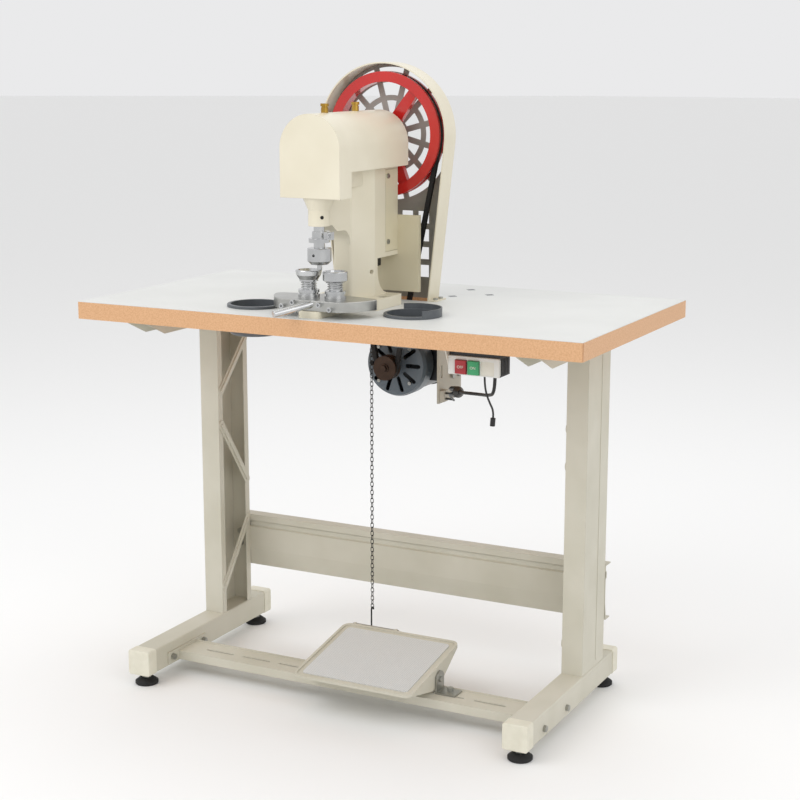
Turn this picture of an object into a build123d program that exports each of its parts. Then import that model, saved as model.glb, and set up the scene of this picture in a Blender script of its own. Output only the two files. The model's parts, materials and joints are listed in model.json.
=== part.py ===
from build123d import *
import os
from math import acos, asin, atan2, cos, degrees, hypot, pi, radians, sin, tan

# Electric button press on its own table stand, in millimetres.
# The origin is on the floor under the middle of the whole outline. +Z is up, the
# operator sits on the -Y side, and +X is the operator's right hand.

# Table
table_width = 1013.0
table_depth = 540.0
table_height = 750.0
board_thickness = 32.0
laminate_thickness = 1.0
band_thickness = 2.0
band_joint = 0.8
handle_reach = 41.0  # how far the die carrier's handle stands in front of the table

left_end = -table_width / 2
front_edge = (handle_reach - table_depth) / 2
board_top = table_height - laminate_thickness
board_bottom = board_top - board_thickness

# Where the press stands on the table
machine_x = left_end + 490.0
ram_y = front_edge + 61.0
pivot_y = ram_y + 50.0
chain_y = front_edge + 255.0

# Openings in the table
belt_slot_width = 200.0
belt_slot_front = front_edge + 300.0
belt_slot_depth = 45.0
chain_hole_radius = 9.0
bin_spots = {"left": (left_end + 328.0, front_edge + 104.0), "right": (left_end + 641.0, front_edge + 129.0)}
insert_spots = [(left_end + 599.0, front_edge + 382.0), (left_end + 593.0, front_edge + 480.0),
                (left_end + 655.0, front_edge + 431.0)]
insert_size = 15.0
insert_depth = 0.8

# Parts bins
bin_radius = 48.0
bin_rim_radius = 52.5
bin_rim_height = 5.0
bin_depth = 52.0
bin_wall = 2.0
bin_clearance = 0.5
bin_lip_height = 15.0

# Stand
column_inset = 110.25  # from each end of the table to the middle of its leg
leg_width = 41.5
leg_depth = 109.7
leg_sheet = 2.0
leg_lip = 15.0
leg_rib = 1.0
board_screw_depth = 18.0
leg_front = front_edge + 270.1
brace_width = 18.0
brace_sheet = 1.6
brace_rib = 2.4
arm_sheet = 1.6
arm_drop = 32.0
arm_clearance = 0.2
arm_front = front_edge + 32.0
arm_length = 470.0
beam_width = 46.0
beam_height = 47.0
beam_wall = 2.0
beam_front = front_edge + 6.0
beam_length = 444.0
foot_height = 24.5
cap_wall = 1.3
cap_grip = 22.0
cap_end = 3.8
pad_radius = 22.5
pad_height = 13.0
stud_radius = 5.0
foot_inset = 22.0
sheet_steel = 2.0
stretcher_height = 110.0
stretcher_bottom = 147.6
stretcher_depth = 26.0
bolt_radius = 4.0
bolt_head = 13.0  # across the corners of the hexagon is a little more
bolt_head_height = 5.3
hole_clearance = 0.3

column_x = {"left": left_end + column_inset, "right": -left_end - column_inset}
beam_top = foot_height + beam_height
leg_back = leg_front + leg_depth
arm_back = arm_front + arm_length
arm_screw_ys = (arm_front + 75.0, arm_back - 60.0)
arm_inner = leg_width + 2 * arm_clearance
cap_width = beam_width + 2 * cap_wall

# Pedal bar and pedal
bar_front = front_edge + 100.0
bar_depth = 65.0
bar_top = 46.5
bar_drop = 17.0
bar_slot_length = 64.0
bar_slot_width = 6.0
bar_slot_count = 8
bar_slot_pitch = 83.35
bar_slot_y = front_edge + 131.0
bar_plate_length = 132.0
pedal_width = 248.0
pedal_centre_x = left_end + 565.0
pedal_pivot = (front_edge + 142.0, 71.0)
pedal_tilt = 9.8
pedal_sheet = 3.0
pedal_reach_front = 114.0
pedal_reach_back = 99.0
pedal_lift = 25.5
mat_thickness = 1.5
mat_inset = 14.0
pin_radius = 5.0
running_fit = 0.05
bracket_sheet = 3.0
bracket_foot = 40.0
bracket_depth = 32.0
rod_radius = 3.0

# Pull chain
link_pitch = 8.2
link_width = 7.0
link_wire = 1.4
chain_top = 822.0
hook_wire = 1.5

# Press casting
base_half_width = 69.5
base_front = front_edge + 147.0
base_back = front_edge + 248.0
base_height = 20.0
tongue_half_width = 23.0
tongue_front = front_edge + 18.0
tongue_height = 12.5
nose_half_width = 17.0
nose_front = front_edge + 142.5
ridge_y = front_edge + 195.0
column_half_width = 40.0
column_back = front_edge + 286.0
throat_top = 895.0
column_top = 1003.0
boss_radius = 19.5
boss_bottom = 909.0
boss_flare = 29.0
shaft_z = 1058.5
shaft_radius = 15.0
bearing_wall = 11.0

# Head cover
cover_half_width = 60.0
cover_sheet = 1.5
cover_front = front_edge + 29.0
cover_step = front_edge + 72.0
cover_back = front_edge + 290.0
cover_front_bottom = 959.0
cover_bottom = 1004.0
cover_arch_z = 1045.0
oiler_spots = (front_edge + 84.0, front_edge + 196.0)

# Ram and dies
ram_radius = 10.0
ram_stroke = 10.0
crank_pin_radius = 7.0
yoke_play = 1.4
die_radius = 21.5
die_bottom = 841.0
die_height = 29.0
tip_radius = 4.5
tip_length = 11.0
collar_radius = 19.0
collar_height = 7.0

# Die carrier
carrier_play = 0.5
carrier_thickness = 18.0
carrier_radius = 108.0
carrier_front = front_edge + 21.0
carrier_swing = 33.0
pivot_radius = 8.0
handle_radius = 6.25
handle_angle = 34.0
handle_fall = 9.5
lower_die_radius = 22.3
lower_die_top = 829.0
lower_base_height = 13.0
sleeve_height = 20.0
post_radius = 11.0
spring_wire = 2.2

# Flywheel drive
fly_radius = 116.0
fly_inner = 97.0
fly_width = 24.0
fly_y = front_edge + 318.0
hub_radius = 24.0
motor_z = 612.0
pulley_radius = 24.0
pulley_width = 22.0
belt_width = 10.0
belt_height = 8.0

# Belt guard
guard_radius = 133.0
guard_front = front_edge + 297.0
guard_back = front_edge + 341.0
guard_sheet = 2.5
guard_foot = 99.0
shield_sheet = 1.5


# Motor
motor_radius = 64.0
motor_front = front_edge + 350.0
bell_length = 42.0
motor_length = 128.0
plate_x = left_end + 582.0
plate_sheet = 4.5

# Switch
box_left = left_end + 749.0
box_width = 95.0
box_front = front_edge + 50.0
box_depth = 46.0
box_bottom = 668.0
button_width = 21.0
button_height = 24.0
button_stand = 5.0
button_travel = 3.0

os.makedirs("parts", exist_ok=True)

TURNED = {"X": (0, 90, 0), "Y": (-90, 0, 0), "Z": (0, 0, 0)}


def block(x, y, z, mode=Mode.ADD):
    """A straight block. Each argument is a low and a high value."""
    with Locations(((x[0] + x[1]) / 2, (y[0] + y[1]) / 2, (z[0] + z[1]) / 2)):
        Box(x[1] - x[0], y[1] - y[0], z[1] - z[0], mode=mode)


def around(middle, half):
    """The low and high values of a span about its middle."""
    return (middle - half, middle + half)


def rod(axis, at, span, radius, mode=Mode.ADD):
    """A round bar along X, Y or Z. at is its place in the other two directions."""
    middle = (span[0] + span[1]) / 2
    place = {"X": (middle, *at), "Y": (at[0], middle, at[1]), "Z": (*at, middle)}[axis]
    with Locations(place):
        Cylinder(radius, span[1] - span[0], rotation=TURNED[axis], mode=mode)


def hex_bolt(seat, direction, grip, radius=bolt_radius, nut=True):
    """A hexagon bolt. seat is under its head, direction runs from head to tip."""
    towards = Plane(origin=seat, z_dir=direction)
    with BuildSketch(towards) as head:
        RegularPolygon(radius * bolt_head / 8, 6)
    extrude(head.sketch, amount=-bolt_head_height * radius / 4)
    with BuildSketch(towards) as stem:
        Circle(radius)
    nut_height = radius * 1.6 if nut else 0
    extrude(stem.sketch, amount=grip + nut_height * 1.3)
    if nut:
        with BuildSketch(towards.offset(grip)) as nut_face:
            RegularPolygon(radius * bolt_head / 8, 6)
        extrude(nut_face.sketch, amount=nut_height)


def cap_screw(seat, direction, length, radius, head_radius, head_height):
    """A round-headed screw with a hexagon socket."""
    towards = Plane(origin=seat, z_dir=direction)
    with BuildSketch(towards) as stem:
        Circle(radius)
    extrude(stem.sketch, amount=length)
    with BuildSketch(towards) as head:
        Circle(head_radius)
    extrude(head.sketch, amount=-head_height)
    with BuildSketch(towards.offset(-head_height)) as socket:
        RegularPolygon(head_radius * 0.55, 6)
    extrude(socket.sketch, amount=head_height * 0.55, mode=Mode.SUBTRACT)


# Where screws enter the table
base_bolt_spots = [(machine_x + side * 55.0, front_edge + 192.0) for side in (-1, 1)]
base_bolt_radius = 5.0
panel_screw_radius = 2.5
guard_flange = 16.0
guard_screw_spots = [(machine_x + side * (guard_foot + guard_flange * 0.6), spot_y)
                     for side in (-1, 1) for spot_y in (guard_front + 11.0, guard_back - 11.0)]
bracket_flange = 34.0
bracket_span = (motor_front, motor_front + 100.0)
board_screw_spots = [(spot_x, spot_y) for spot_x in column_x.values() for spot_y in arm_screw_ys]
board_screw_spots += [(plate_x + plate_sheet + bracket_flange * 0.55, spot_y)
                      for spot_y in (bracket_span[0] + 20.0, bracket_span[1] - 20.0)]

# Table board, laminate and edge banding
belt_slot_y = (belt_slot_front, belt_slot_front + belt_slot_depth)
table_middle_y = front_edge + table_depth / 2
with BuildPart() as table_top:
    with BuildSketch(Plane.XY.offset(board_bottom)) as board_outline:
        with Locations((0, table_middle_y)):
            Rectangle(table_width - 2 * band_thickness, table_depth - 2 * band_thickness)
    extrude(amount=board_thickness)
    block(around(machine_x, belt_slot_width / 2), belt_slot_y, (board_bottom, board_top), Mode.SUBTRACT)
    rod("Z", (machine_x, chain_y), (board_bottom, board_top), chain_hole_radius, Mode.SUBTRACT)
    for bin_x, bin_y in bin_spots.values():
        rod("Z", (bin_x, bin_y), (board_bottom, board_top), bin_radius + bin_clearance, Mode.SUBTRACT)
    for screw_x, screw_y in board_screw_spots:
        rod("Z", (screw_x, screw_y), (board_bottom, board_bottom + board_screw_depth), bolt_radius,
            Mode.SUBTRACT)
    for screw_x, screw_y in guard_screw_spots:
        rod("Z", (screw_x, screw_y), (board_top - board_screw_depth, board_top), panel_screw_radius, Mode.SUBTRACT)
    for bolt_x, bolt_y in base_bolt_spots:
        rod("Z", (bolt_x, bolt_y), (board_bottom, board_top), base_bolt_radius + hole_clearance, Mode.SUBTRACT)
table_top.part.label = "table_top"
export_step(table_top.part, "parts/table_top.step")

with BuildPart() as table_laminate:
    with BuildSketch(Plane.XY.offset(board_top)) as sheet_outline:
        with Locations((0, table_middle_y)):
            Rectangle(table_width, table_depth)
    extrude(amount=laminate_thickness)
    block(around(machine_x, belt_slot_width / 2), belt_slot_y, (board_top, table_height), Mode.SUBTRACT)
    rod("Z", (machine_x, chain_y), (board_top, table_height), chain_hole_radius, Mode.SUBTRACT)
    for bin_x, bin_y in bin_spots.values():
        rod("Z", (bin_x, bin_y), (board_top, table_height), bin_radius + bin_clearance, Mode.SUBTRACT)
    for screw_x, screw_y in guard_screw_spots:
        rod("Z", (screw_x, screw_y), (board_top, table_height), panel_screw_radius, Mode.SUBTRACT)
    for bolt_x, bolt_y in base_bolt_spots:
        rod("Z", (bolt_x, bolt_y), (board_top, table_height), base_bolt_radius + hole_clearance, Mode.SUBTRACT)
    for insert_x, insert_y in insert_spots:
        with BuildSketch(Plane.XY.offset(table_height - insert_depth)) as recess:
            with Locations((insert_x, insert_y)):
                Rectangle(insert_size, insert_size, rotation=45)
        extrude(amount=insert_depth, mode=Mode.SUBTRACT)
table_laminate.part.label = "table_laminate"
export_step(table_laminate.part, "parts/table_laminate.step")

with BuildPart() as edge_banding:
    strip = band_thickness
    front_band = (front_edge, front_edge + strip)
    back_band = (front_edge + table_depth - strip, front_edge + table_depth)
    side_band = (front_edge + strip + band_joint, front_edge + table_depth - strip)
    height = (board_bottom, board_top)
    block((left_end, -left_end - band_joint), front_band, height)
    block((left_end, -left_end), back_band, height)
    block((left_end, left_end + strip), side_band, height)
    block((-left_end - strip, -left_end), side_band, height)
edge_banding.part.label = "edge_banding"
export_step(edge_banding.part, "parts/edge_banding.step")

with BuildPart() as table_inserts:
    for insert_x, insert_y in insert_spots:
        with BuildSketch(Plane.XY.offset(table_height - insert_depth)) as diamond:
            with Locations((insert_x, insert_y)):
                Rectangle(insert_size, insert_size, rotation=45)
        extrude(amount=insert_depth)
table_inserts.part.label = "table_inserts"
export_step(table_inserts.part, "parts/table_inserts.step")

# Legs: channels with rolled lips, open towards the middle of the stand
leg_top = board_bottom - arm_sheet
arm_low = board_bottom - arm_drop
arm_bolt_ys = (leg_front + 0.62 * leg_lip, leg_back - 0.62 * leg_lip)
arm_bolt_z = board_bottom - 0.55 * arm_drop
stretcher_top = stretcher_bottom + stretcher_height
stretcher_bolt_zs = (stretcher_bottom + 0.42 * stretcher_height, stretcher_bottom + 0.66 * stretcher_height)
leg_middle_y = leg_front + leg_depth / 2
leg_inner_face = {}
for side, name in ((-1, "left"), (1, "right")):
    centre_x = column_x[name]
    leg_inner_face[name] = centre_x - side * leg_width / 2
    with BuildPart() as leg:
        with BuildSketch(Plane.XY.offset(beam_top)) as channel:
            with Locations((centre_x, leg_middle_y)):
                Rectangle(leg_width, leg_depth)
                Rectangle(leg_width - 2 * leg_sheet, leg_depth - 2 * leg_sheet, mode=Mode.SUBTRACT)
            with Locations((leg_inner_face[name], leg_middle_y)):
                Rectangle(3 * leg_sheet, leg_depth - 2 * leg_lip, mode=Mode.SUBTRACT)
        extrude(amount=leg_top - beam_top)
        outer_wall = centre_x + side * leg_width / 2
        block(tuple(sorted((outer_wall, outer_wall + side * leg_rib))), around(leg_front + 0.65 * leg_depth, 4.5),
              (beam_top + 12.0, arm_low - 8.0))
        for bolt_z in stretcher_bolt_zs:
            rod("Y", (centre_x, bolt_z), (leg_back - leg_sheet, leg_back), bolt_radius + hole_clearance,
                Mode.SUBTRACT)
        for bolt_y in arm_bolt_ys:
            rod("X", (bolt_y, arm_bolt_z), around(leg_inner_face[name], leg_sheet),
                bolt_radius + hole_clearance, Mode.SUBTRACT)
    leg.part.label = f"{name}_leg"
    export_step(leg.part, f"parts/{name}_leg.step")

# Ribbed straps that zigzag across the open side of each leg
lip_front = leg_front + leg_lip * 0.5
lip_back = leg_back - leg_lip * 0.5
strap_ends = (((lip_back, 637.0), (lip_front, 537.5)), ((lip_front, 471.6), (lip_back, 334.0)),
              ((lip_back, 255.0), (lip_front, 127.0)))
with BuildPart() as leg_braces:
    for side, name in ((-1, "left"), (1, "right")):
        face = leg_inner_face[name]
        for start, end in strap_ends:
            run = hypot(end[0] - start[0], end[1] - start[1])
            slope = degrees(atan2(end[1] - start[1], end[0] - start[0]))
            middle = ((start[0] + end[0]) / 2, (start[1] + end[1]) / 2)
            with BuildSketch(Plane.YZ.offset(face)) as strap:
                with Locations(middle):
                    SlotOverall(run + brace_width * 0.7, brace_width, rotation=slope)
            extrude(strap.sketch, amount=-side * brace_sheet)
            with BuildSketch(Plane.YZ.offset(face - side * brace_sheet)) as rib:
                with Locations(middle):
                    SlotOverall(run - brace_width * 0.2, brace_width * 0.36, rotation=slope)
            extrude(rib.sketch, amount=-side * brace_rib)
leg_braces.part.label = "leg_braces"
export_step(leg_braces.part, "parts/leg_braces.step")

# Arms: channels turned down under the board, over the tops of the legs
with BuildPart() as top_arms:
    for name in ("left", "right"):
        width = arm_inner + 2 * arm_sheet
        with BuildSketch(Plane.YZ.offset(column_x[name] - width / 2)) as side_view:
            with BuildLine() as arm_outline:
                Polyline((arm_front, board_bottom), (arm_back, board_bottom), (arm_back, board_bottom - 6),
                         (arm_back - 40, arm_low), (arm_front + 58, arm_low), (arm_front, board_bottom - 6),
                         close=True)
            make_face()
        extrude(side_view.sketch, amount=width)
        block(around(column_x[name], arm_inner / 2), (arm_front, arm_back),
              (arm_low, board_bottom - arm_sheet), Mode.SUBTRACT)
        for screw_y in arm_screw_ys:
            rod("Z", (column_x[name], screw_y), (board_bottom - arm_sheet, board_bottom),
                bolt_radius + hole_clearance, Mode.SUBTRACT)
        for bolt_y in arm_bolt_ys:
            side = 1 if name == "right" else -1
            rod("X", (bolt_y, arm_bolt_z), around(column_x[name] - side * width / 2, 2 * arm_sheet),
                bolt_radius + hole_clearance, Mode.SUBTRACT)
top_arms.part.label = "top_arms"
export_step(top_arms.part, "parts/top_arms.step")

# Foot beams, their end caps and the levelling feet
beam_back = beam_front + beam_length
foot_ys = (beam_front + foot_inset, beam_back - foot_inset)
with BuildPart() as foot_beams:
    for name in ("left", "right"):
        with BuildSketch(Plane.XZ.offset(-beam_front)) as tube:
            with Locations((column_x[name], foot_height + beam_height / 2)):
                RectangleRounded(beam_width, beam_height, 3.0)
                RectangleRounded(beam_width - 2 * beam_wall, beam_height - 2 * beam_wall, 1.0,
                                 mode=Mode.SUBTRACT)
        extrude(tube.sketch, amount=-beam_length)
        for foot_y in foot_ys:
            rod("Z", (column_x[name], foot_y), (foot_height, foot_height + beam_wall),
                stud_radius + hole_clearance, Mode.SUBTRACT)
        for bolt_y in (bar_front - 20.0, bar_front + bar_depth + 22.0):
            rod("X", (bolt_y, bar_top - 5.0), around(column_x[name], beam_width / 2),
                bolt_radius + hole_clearance, Mode.SUBTRACT)
foot_beams.part.label = "foot_beams"
export_step(foot_beams.part, "parts/foot_beams.step")

with BuildPart() as end_caps:
    for name in ("left", "right"):
        for tube_end, outwards in ((beam_front, -1), (beam_back, 1)):
            grip_end = tube_end - outwards * cap_grip
            cap_face = tube_end + outwards * cap_end
            span = (min(grip_end, cap_face), max(grip_end, cap_face))
            with BuildSketch(Plane.XZ.offset(-span[0])) as cap:
                with Locations((column_x[name], foot_height + beam_height / 2)):
                    RectangleRounded(cap_width, beam_height + 2 * cap_wall, 5.0)
            extrude(cap.sketch, amount=-(span[1] - span[0]))
            with BuildSketch(Plane.XZ.offset(-grip_end)) as pocket:
                with Locations((column_x[name], foot_height + beam_height / 2)):
                    RectangleRounded(beam_width, beam_height, 3.0)
            extrude(pocket.sketch, amount=-outwards * cap_grip, mode=Mode.SUBTRACT)
            foot_y = tube_end - outwards * foot_inset
            rod("Z", (column_x[name], foot_y), (foot_height - 2 * cap_wall, foot_height),
                pad_radius, Mode.SUBTRACT)
    outer_edges = end_caps.edges().filter_by(Axis.X).group_by(Axis.Y)
    fillet(outer_edges[0] + outer_edges[-1], radius=2.0)
end_caps.part.label = "end_caps"
export_step(end_caps.part, "parts/end_caps.step")

stud_seat = pad_height * 0.6
with BuildPart() as foot_pads:
    for name in ("left", "right"):
        for foot_y in foot_ys:
            with BuildSketch(Plane.XZ.offset(-foot_y)) as pad:
                with BuildLine():
                    Polyline((column_x[name], 0), (column_x[name] + pad_radius - 1.5, 0),
                             (column_x[name] + pad_radius, 1.5), (column_x[name] + pad_radius, 6.0),
                             (column_x[name] + pad_radius * 0.6, pad_height),
                             (column_x[name], pad_height), close=True)
                make_face()
            revolve(pad.sketch, axis=Axis((column_x[name], foot_y, 0), (0, 0, 1)))
            rod("Z", (column_x[name], foot_y), (stud_seat, pad_height), stud_radius, Mode.SUBTRACT)
foot_pads.part.label = "foot_pads"
export_step(foot_pads.part, "parts/foot_pads.step")

with BuildPart() as foot_studs:
    for name in ("left", "right"):
        for foot_y in foot_ys:
            rod("Z", (column_x[name], foot_y), (stud_seat, foot_height + 18.0), stud_radius)
            with BuildSketch(Plane.XY.offset(pad_height)) as lock_nut:
                with Locations((column_x[name], foot_y)):
                    RegularPolygon(9.5, 6)
            extrude(lock_nut.sketch, amount=foot_height - pad_height)
foot_studs.part.label = "foot_studs"
export_step(foot_studs.part, "parts/foot_studs.step")

# Rear stretcher: a folded sheet behind both legs
stretcher_face = leg_back + sheet_steel / 2
stretcher_half = column_x["right"] + leg_width / 2 + 1.0
with BuildPart() as rear_stretcher:
    with BuildSketch(Plane.YZ.offset(-stretcher_half)) as fold:
        with BuildLine() as bends:
            Polyline((stretcher_face + stretcher_depth, stretcher_top - 1), (stretcher_face, stretcher_top - 1),
                     (stretcher_face, stretcher_top - 0.11 * stretcher_height),
                     (stretcher_face + 5, stretcher_top - 0.13 * stretcher_height),
                     (stretcher_face + 5, stretcher_top - 0.23 * stretcher_height),
                     (stretcher_face, stretcher_top - 0.25 * stretcher_height),
                     (stretcher_face, stretcher_top - 0.67 * stretcher_height),
                     (stretcher_face + 6, stretcher_bottom + 1),
                     (stretcher_face + stretcher_depth, stretcher_bottom + 1))
        trace(line_width=sheet_steel)
    extrude(fold.sketch, amount=2 * stretcher_half)
    for name in ("left", "right"):
        for bolt_z in stretcher_bolt_zs:
            rod("Y", (column_x[name], bolt_z), around(stretcher_face, 4.0), bolt_radius + hole_clearance,
                Mode.SUBTRACT)
rear_stretcher.part.label = "rear_stretcher"
export_step(rear_stretcher.part, "parts/rear_stretcher.step")

# Pedal bar: a shallow channel between the beams, with an end plate at each beam
bar_half = column_x["right"] - beam_width / 2
bar_back = bar_front + bar_depth
bar_middle_y = bar_front + bar_depth / 2
bar_bolt_ys = (bar_front - 20.0, bar_back + 22.0)
bar_bolt_z = bar_top - 5.0
pivot_pin_y, pivot_pin_z = pedal_pivot
tab_gap = 1.0
tab_inner = {side: pedal_centre_x + side * (pedal_width / 2 + tab_gap) for side in (-1, 1)}
bracket_bolt_y = pivot_pin_y + 8.0
bracket_bolt_x = {side: tab_inner[side] + side * (bracket_sheet + 17.0) for side in (-1, 1)}
with BuildPart() as pedal_bar:
    block((-bar_half, bar_half), (bar_front, bar_back), (bar_top - bar_drop, bar_top))
    block((-bar_half, bar_half), (bar_front + sheet_steel, bar_back - sheet_steel),
          (bar_top - bar_drop, bar_top - sheet_steel), Mode.SUBTRACT)
    block((-bar_half, bar_half), (bar_back - sheet_steel, bar_back), (bar_top, bar_top + 3.0))
    for slot in range(bar_slot_count):
        slot_x = (slot - (bar_slot_count - 1) / 2) * bar_slot_pitch
        with BuildSketch(Plane.XY.offset(bar_top - sheet_steel)) as slot_outline:
            with Locations((slot_x, bar_slot_y)):
                SlotOverall(bar_slot_length, bar_slot_width)
        extrude(slot_outline.sketch, amount=sheet_steel, mode=Mode.SUBTRACT)
    for side in (-1, 1):
        plate = tuple(sorted((side * bar_half, side * (bar_half - bracket_sheet))))
        block(plate, around(bar_middle_y, bar_plate_length / 2), (bar_top - bar_drop, bar_top + 6.0))
        for bolt_y in bar_bolt_ys:
            rod("X", (bolt_y, bar_bolt_z), plate, bolt_radius + hole_clearance, Mode.SUBTRACT)
        rod("Z", (bracket_bolt_x[side], bracket_bolt_y), (bar_top - sheet_steel, bar_top),
            bolt_radius + hole_clearance, Mode.SUBTRACT)
pedal_bar.part.label = "pedal_bar"
export_step(pedal_bar.part, "parts/pedal_bar.step")

# Angle brackets that carry the pedal
bracket_y = around(pivot_pin_y, bracket_depth / 2)
with BuildPart() as pedal_brackets:
    for side in (-1, 1):
        inner = tab_inner[side]
        outer = inner + side * bracket_sheet
        block(tuple(sorted((inner, inner + side * bracket_foot))), bracket_y, (bar_top, bar_top + bracket_sheet))
        block(tuple(sorted((inner, outer))), bracket_y, (bar_top, pivot_pin_z))
        rod("X", (pivot_pin_y, pivot_pin_z), tuple(sorted((inner, outer))), bracket_depth / 2)
        rod("X", (pivot_pin_y, pivot_pin_z), tuple(sorted((inner, outer))), pin_radius + running_fit,
            Mode.SUBTRACT)
        rod("Z", (bracket_bolt_x[side], bracket_bolt_y), (bar_top, bar_top + bracket_sheet),
            bolt_radius + hole_clearance, Mode.SUBTRACT)
pedal_brackets.part.label = "pedal_brackets"
export_step(pedal_brackets.part, "parts/pedal_brackets.step")

# Bolts of the pedal bar and of its brackets
with BuildPart() as stand_bolts:
    for side, name in ((-1, "left"), (1, "right")):
        for bolt_z in stretcher_bolt_zs:
            hex_bolt((column_x[name], stretcher_face + sheet_steel / 2, bolt_z), (0, -1, 0),
                     sheet_steel + leg_sheet)
        for bolt_y in arm_bolt_ys:
            hex_bolt((column_x[name] - side * (arm_inner / 2 + arm_sheet), bolt_y, arm_bolt_z),
                     (side, 0, 0), arm_sheet + arm_clearance + leg_sheet)
        for bolt_y in bar_bolt_ys:
            hex_bolt((column_x[name] + side * beam_width / 2, bolt_y, bar_bolt_z), (-side, 0, 0),
                     beam_width + bracket_sheet)
        hex_bolt((bracket_bolt_x[side], bracket_bolt_y, bar_top + bracket_sheet), (0, 0, -1),
                 bracket_sheet + sheet_steel)
    for screw_x, screw_y in board_screw_spots:
        sheet = arm_sheet if screw_x in column_x.values() else plate_sheet
        hex_bolt((screw_x, screw_y, board_bottom - sheet), (0, 0, 1), sheet + board_screw_depth, nut=False)
stand_bolts.part.label = "stand_bolts"
export_step(stand_bolts.part, "parts/stand_bolts.step")

# Pedal: a tread with a raised rim and a triangular cheek at each side
tread = Plane(origin=(pedal_centre_x, pivot_pin_y, pivot_pin_z), x_dir=(1, 0, 0),
              z_dir=(0, -sin(radians(pedal_tilt)), cos(radians(pedal_tilt))))
tread_length = pedal_reach_front + pedal_reach_back
tread_middle = (pedal_reach_back - pedal_reach_front) / 2
rim_width = 5.0
rim_height = 2.5
hook_clearance = 1.8
hook_loop = rod_radius + hook_wire + hook_clearance
hook_crown = 4.0
rod_world_y = chain_y - hook_loop - hook_crown
rod_world_z = pivot_pin_z + 37.0
rod_u = ((rod_world_y - pivot_pin_y) * cos(radians(pedal_tilt))
         + (rod_world_z - pivot_pin_z) * sin(radians(pedal_tilt)))
rod_v = ((rod_world_z - pivot_pin_z) * cos(radians(pedal_tilt))
         - (rod_world_y - pivot_pin_y) * sin(radians(pedal_tilt)))
rod_span = (machine_x - pedal_centre_x - 32.0, machine_x - pedal_centre_x + 58.0)
lug_width = 4.0
with BuildPart() as pedal_plate:
    with BuildSketch(tread.offset(pedal_lift - pedal_sheet - rim_height)) as tread_outline:
        with Locations((0, tread_middle)):
            RectangleRounded(pedal_width, tread_length, 16.0)
    extrude(amount=pedal_sheet)
    with BuildSketch(tread.offset(pedal_lift - rim_height)) as rim_outline:
        with Locations((0, tread_middle)):
            RectangleRounded(pedal_width, tread_length, 16.0)
            RectangleRounded(pedal_width - 2 * rim_width, tread_length - 2 * rim_width, 12.0, mode=Mode.SUBTRACT)
    extrude(amount=rim_height)
    cheek_top = pedal_lift - rim_height - pedal_sheet
    for side in (-1, 1):
        cheek_plane = Plane(origin=tread.from_local_coords(Vector(side * pedal_width / 2, 0, 0)),
                            x_dir=tread.y_dir, z_dir=(1, 0, 0))
        with BuildSketch(cheek_plane) as cheek:
            with BuildLine() as cheek_outline:
                Polyline((-pedal_reach_front + 10, cheek_top), (-30, -11), (9, -13),
                         (pedal_reach_back - 12, cheek_top), close=True)
            make_face()
            fillet(cheek.vertices().sort_by(Axis.Y)[:2], radius=9.0)
            Circle(pin_radius, mode=Mode.SUBTRACT)
        extrude(cheek.sketch, amount=-side * pedal_sheet)
    for lug_x in rod_span:
        with BuildSketch(Plane(origin=tread.from_local_coords(Vector(lug_x - lug_width / 2, 0, 0)),
                               x_dir=tread.y_dir, z_dir=(1, 0, 0))) as lug:
            with BuildLine():
                Polyline((pedal_reach_back - 16, cheek_top), (pedal_reach_back - 10, rod_v - 5),
                         (rod_u, rod_v - rod_radius - 2), (rod_u + rod_radius + 2, rod_v),
                         (rod_u, rod_v + rod_radius + 2), (pedal_reach_back - 1, cheek_top), close=True)
            make_face()
            with Locations((rod_u, rod_v)):
                Circle(rod_radius, mode=Mode.SUBTRACT)
        extrude(lug.sketch, amount=lug_width)
pedal_plate.part.label = "pedal_plate"
export_step(pedal_plate.part, "parts/pedal_plate.step")

with BuildPart() as pedal_mat:
    with BuildSketch(tread.offset(pedal_lift - rim_height)) as mat_outline:
        with Locations((0, tread_middle)):
            RectangleRounded(pedal_width - 2 * mat_inset, tread_length - 2 * mat_inset, 8.0)
    extrude(amount=mat_thickness)
pedal_mat.part.label = "pedal_mat"
export_step(pedal_mat.part, "parts/pedal_mat.step")

with BuildPart() as pedal_pins:
    for side in (-1, 1):
        cheek_inner = pedal_centre_x + side * (pedal_width / 2 - pedal_sheet)
        bracket_outer = tab_inner[side] + side * bracket_sheet
        rod("X", (pivot_pin_y, pivot_pin_z), tuple(sorted((cheek_inner, bracket_outer + side * 2.5))), pin_radius)
        rod("X", (pivot_pin_y, pivot_pin_z), tuple(sorted((cheek_inner, cheek_inner - side * 3.0))),
            pin_radius + 2.5)
    rod("X", (rod_world_y, rod_world_z),
        (pedal_centre_x + rod_span[0] - 5.0, pedal_centre_x + rod_span[1] + 5.0), rod_radius)
pedal_pins.part.label = "pedal_pins"
export_step(pedal_pins.part, "parts/pedal_pins.step")

# Pull chain: welded links from the trip lever down to an S hook round the pedal's rod
link_gap = 0.1
link_reach = link_pitch / 2 + (link_wire + link_gap) / 2
link_half_width = (link_width - link_wire) / 2
crown_z = 145.0
first_link_z = crown_z - hook_wire - link_wire / 2 - link_gap + link_reach
link_count = 2 * round((chain_top - first_link_z - link_reach) / link_pitch / 2) + 1
chain_eye_z = first_link_z + (link_count - 1) * link_pitch + link_reach
with BuildPart() as link:
    straight = link_reach - link_half_width
    with BuildLine(Plane.XZ) as link_loop:
        Line((link_half_width, -straight), (link_half_width, straight))
        CenterArc((0, straight), link_half_width, 0, 180)
        Line((-link_half_width, straight), (-link_half_width, -straight))
        CenterArc((0, -straight), link_half_width, 180, 180)
    with BuildSketch(Plane(origin=(link_half_width, 0, -straight), z_dir=(0, 0, 1))):
        Circle(link_wire / 2)
    sweep(path=link_loop.wire())
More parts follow.
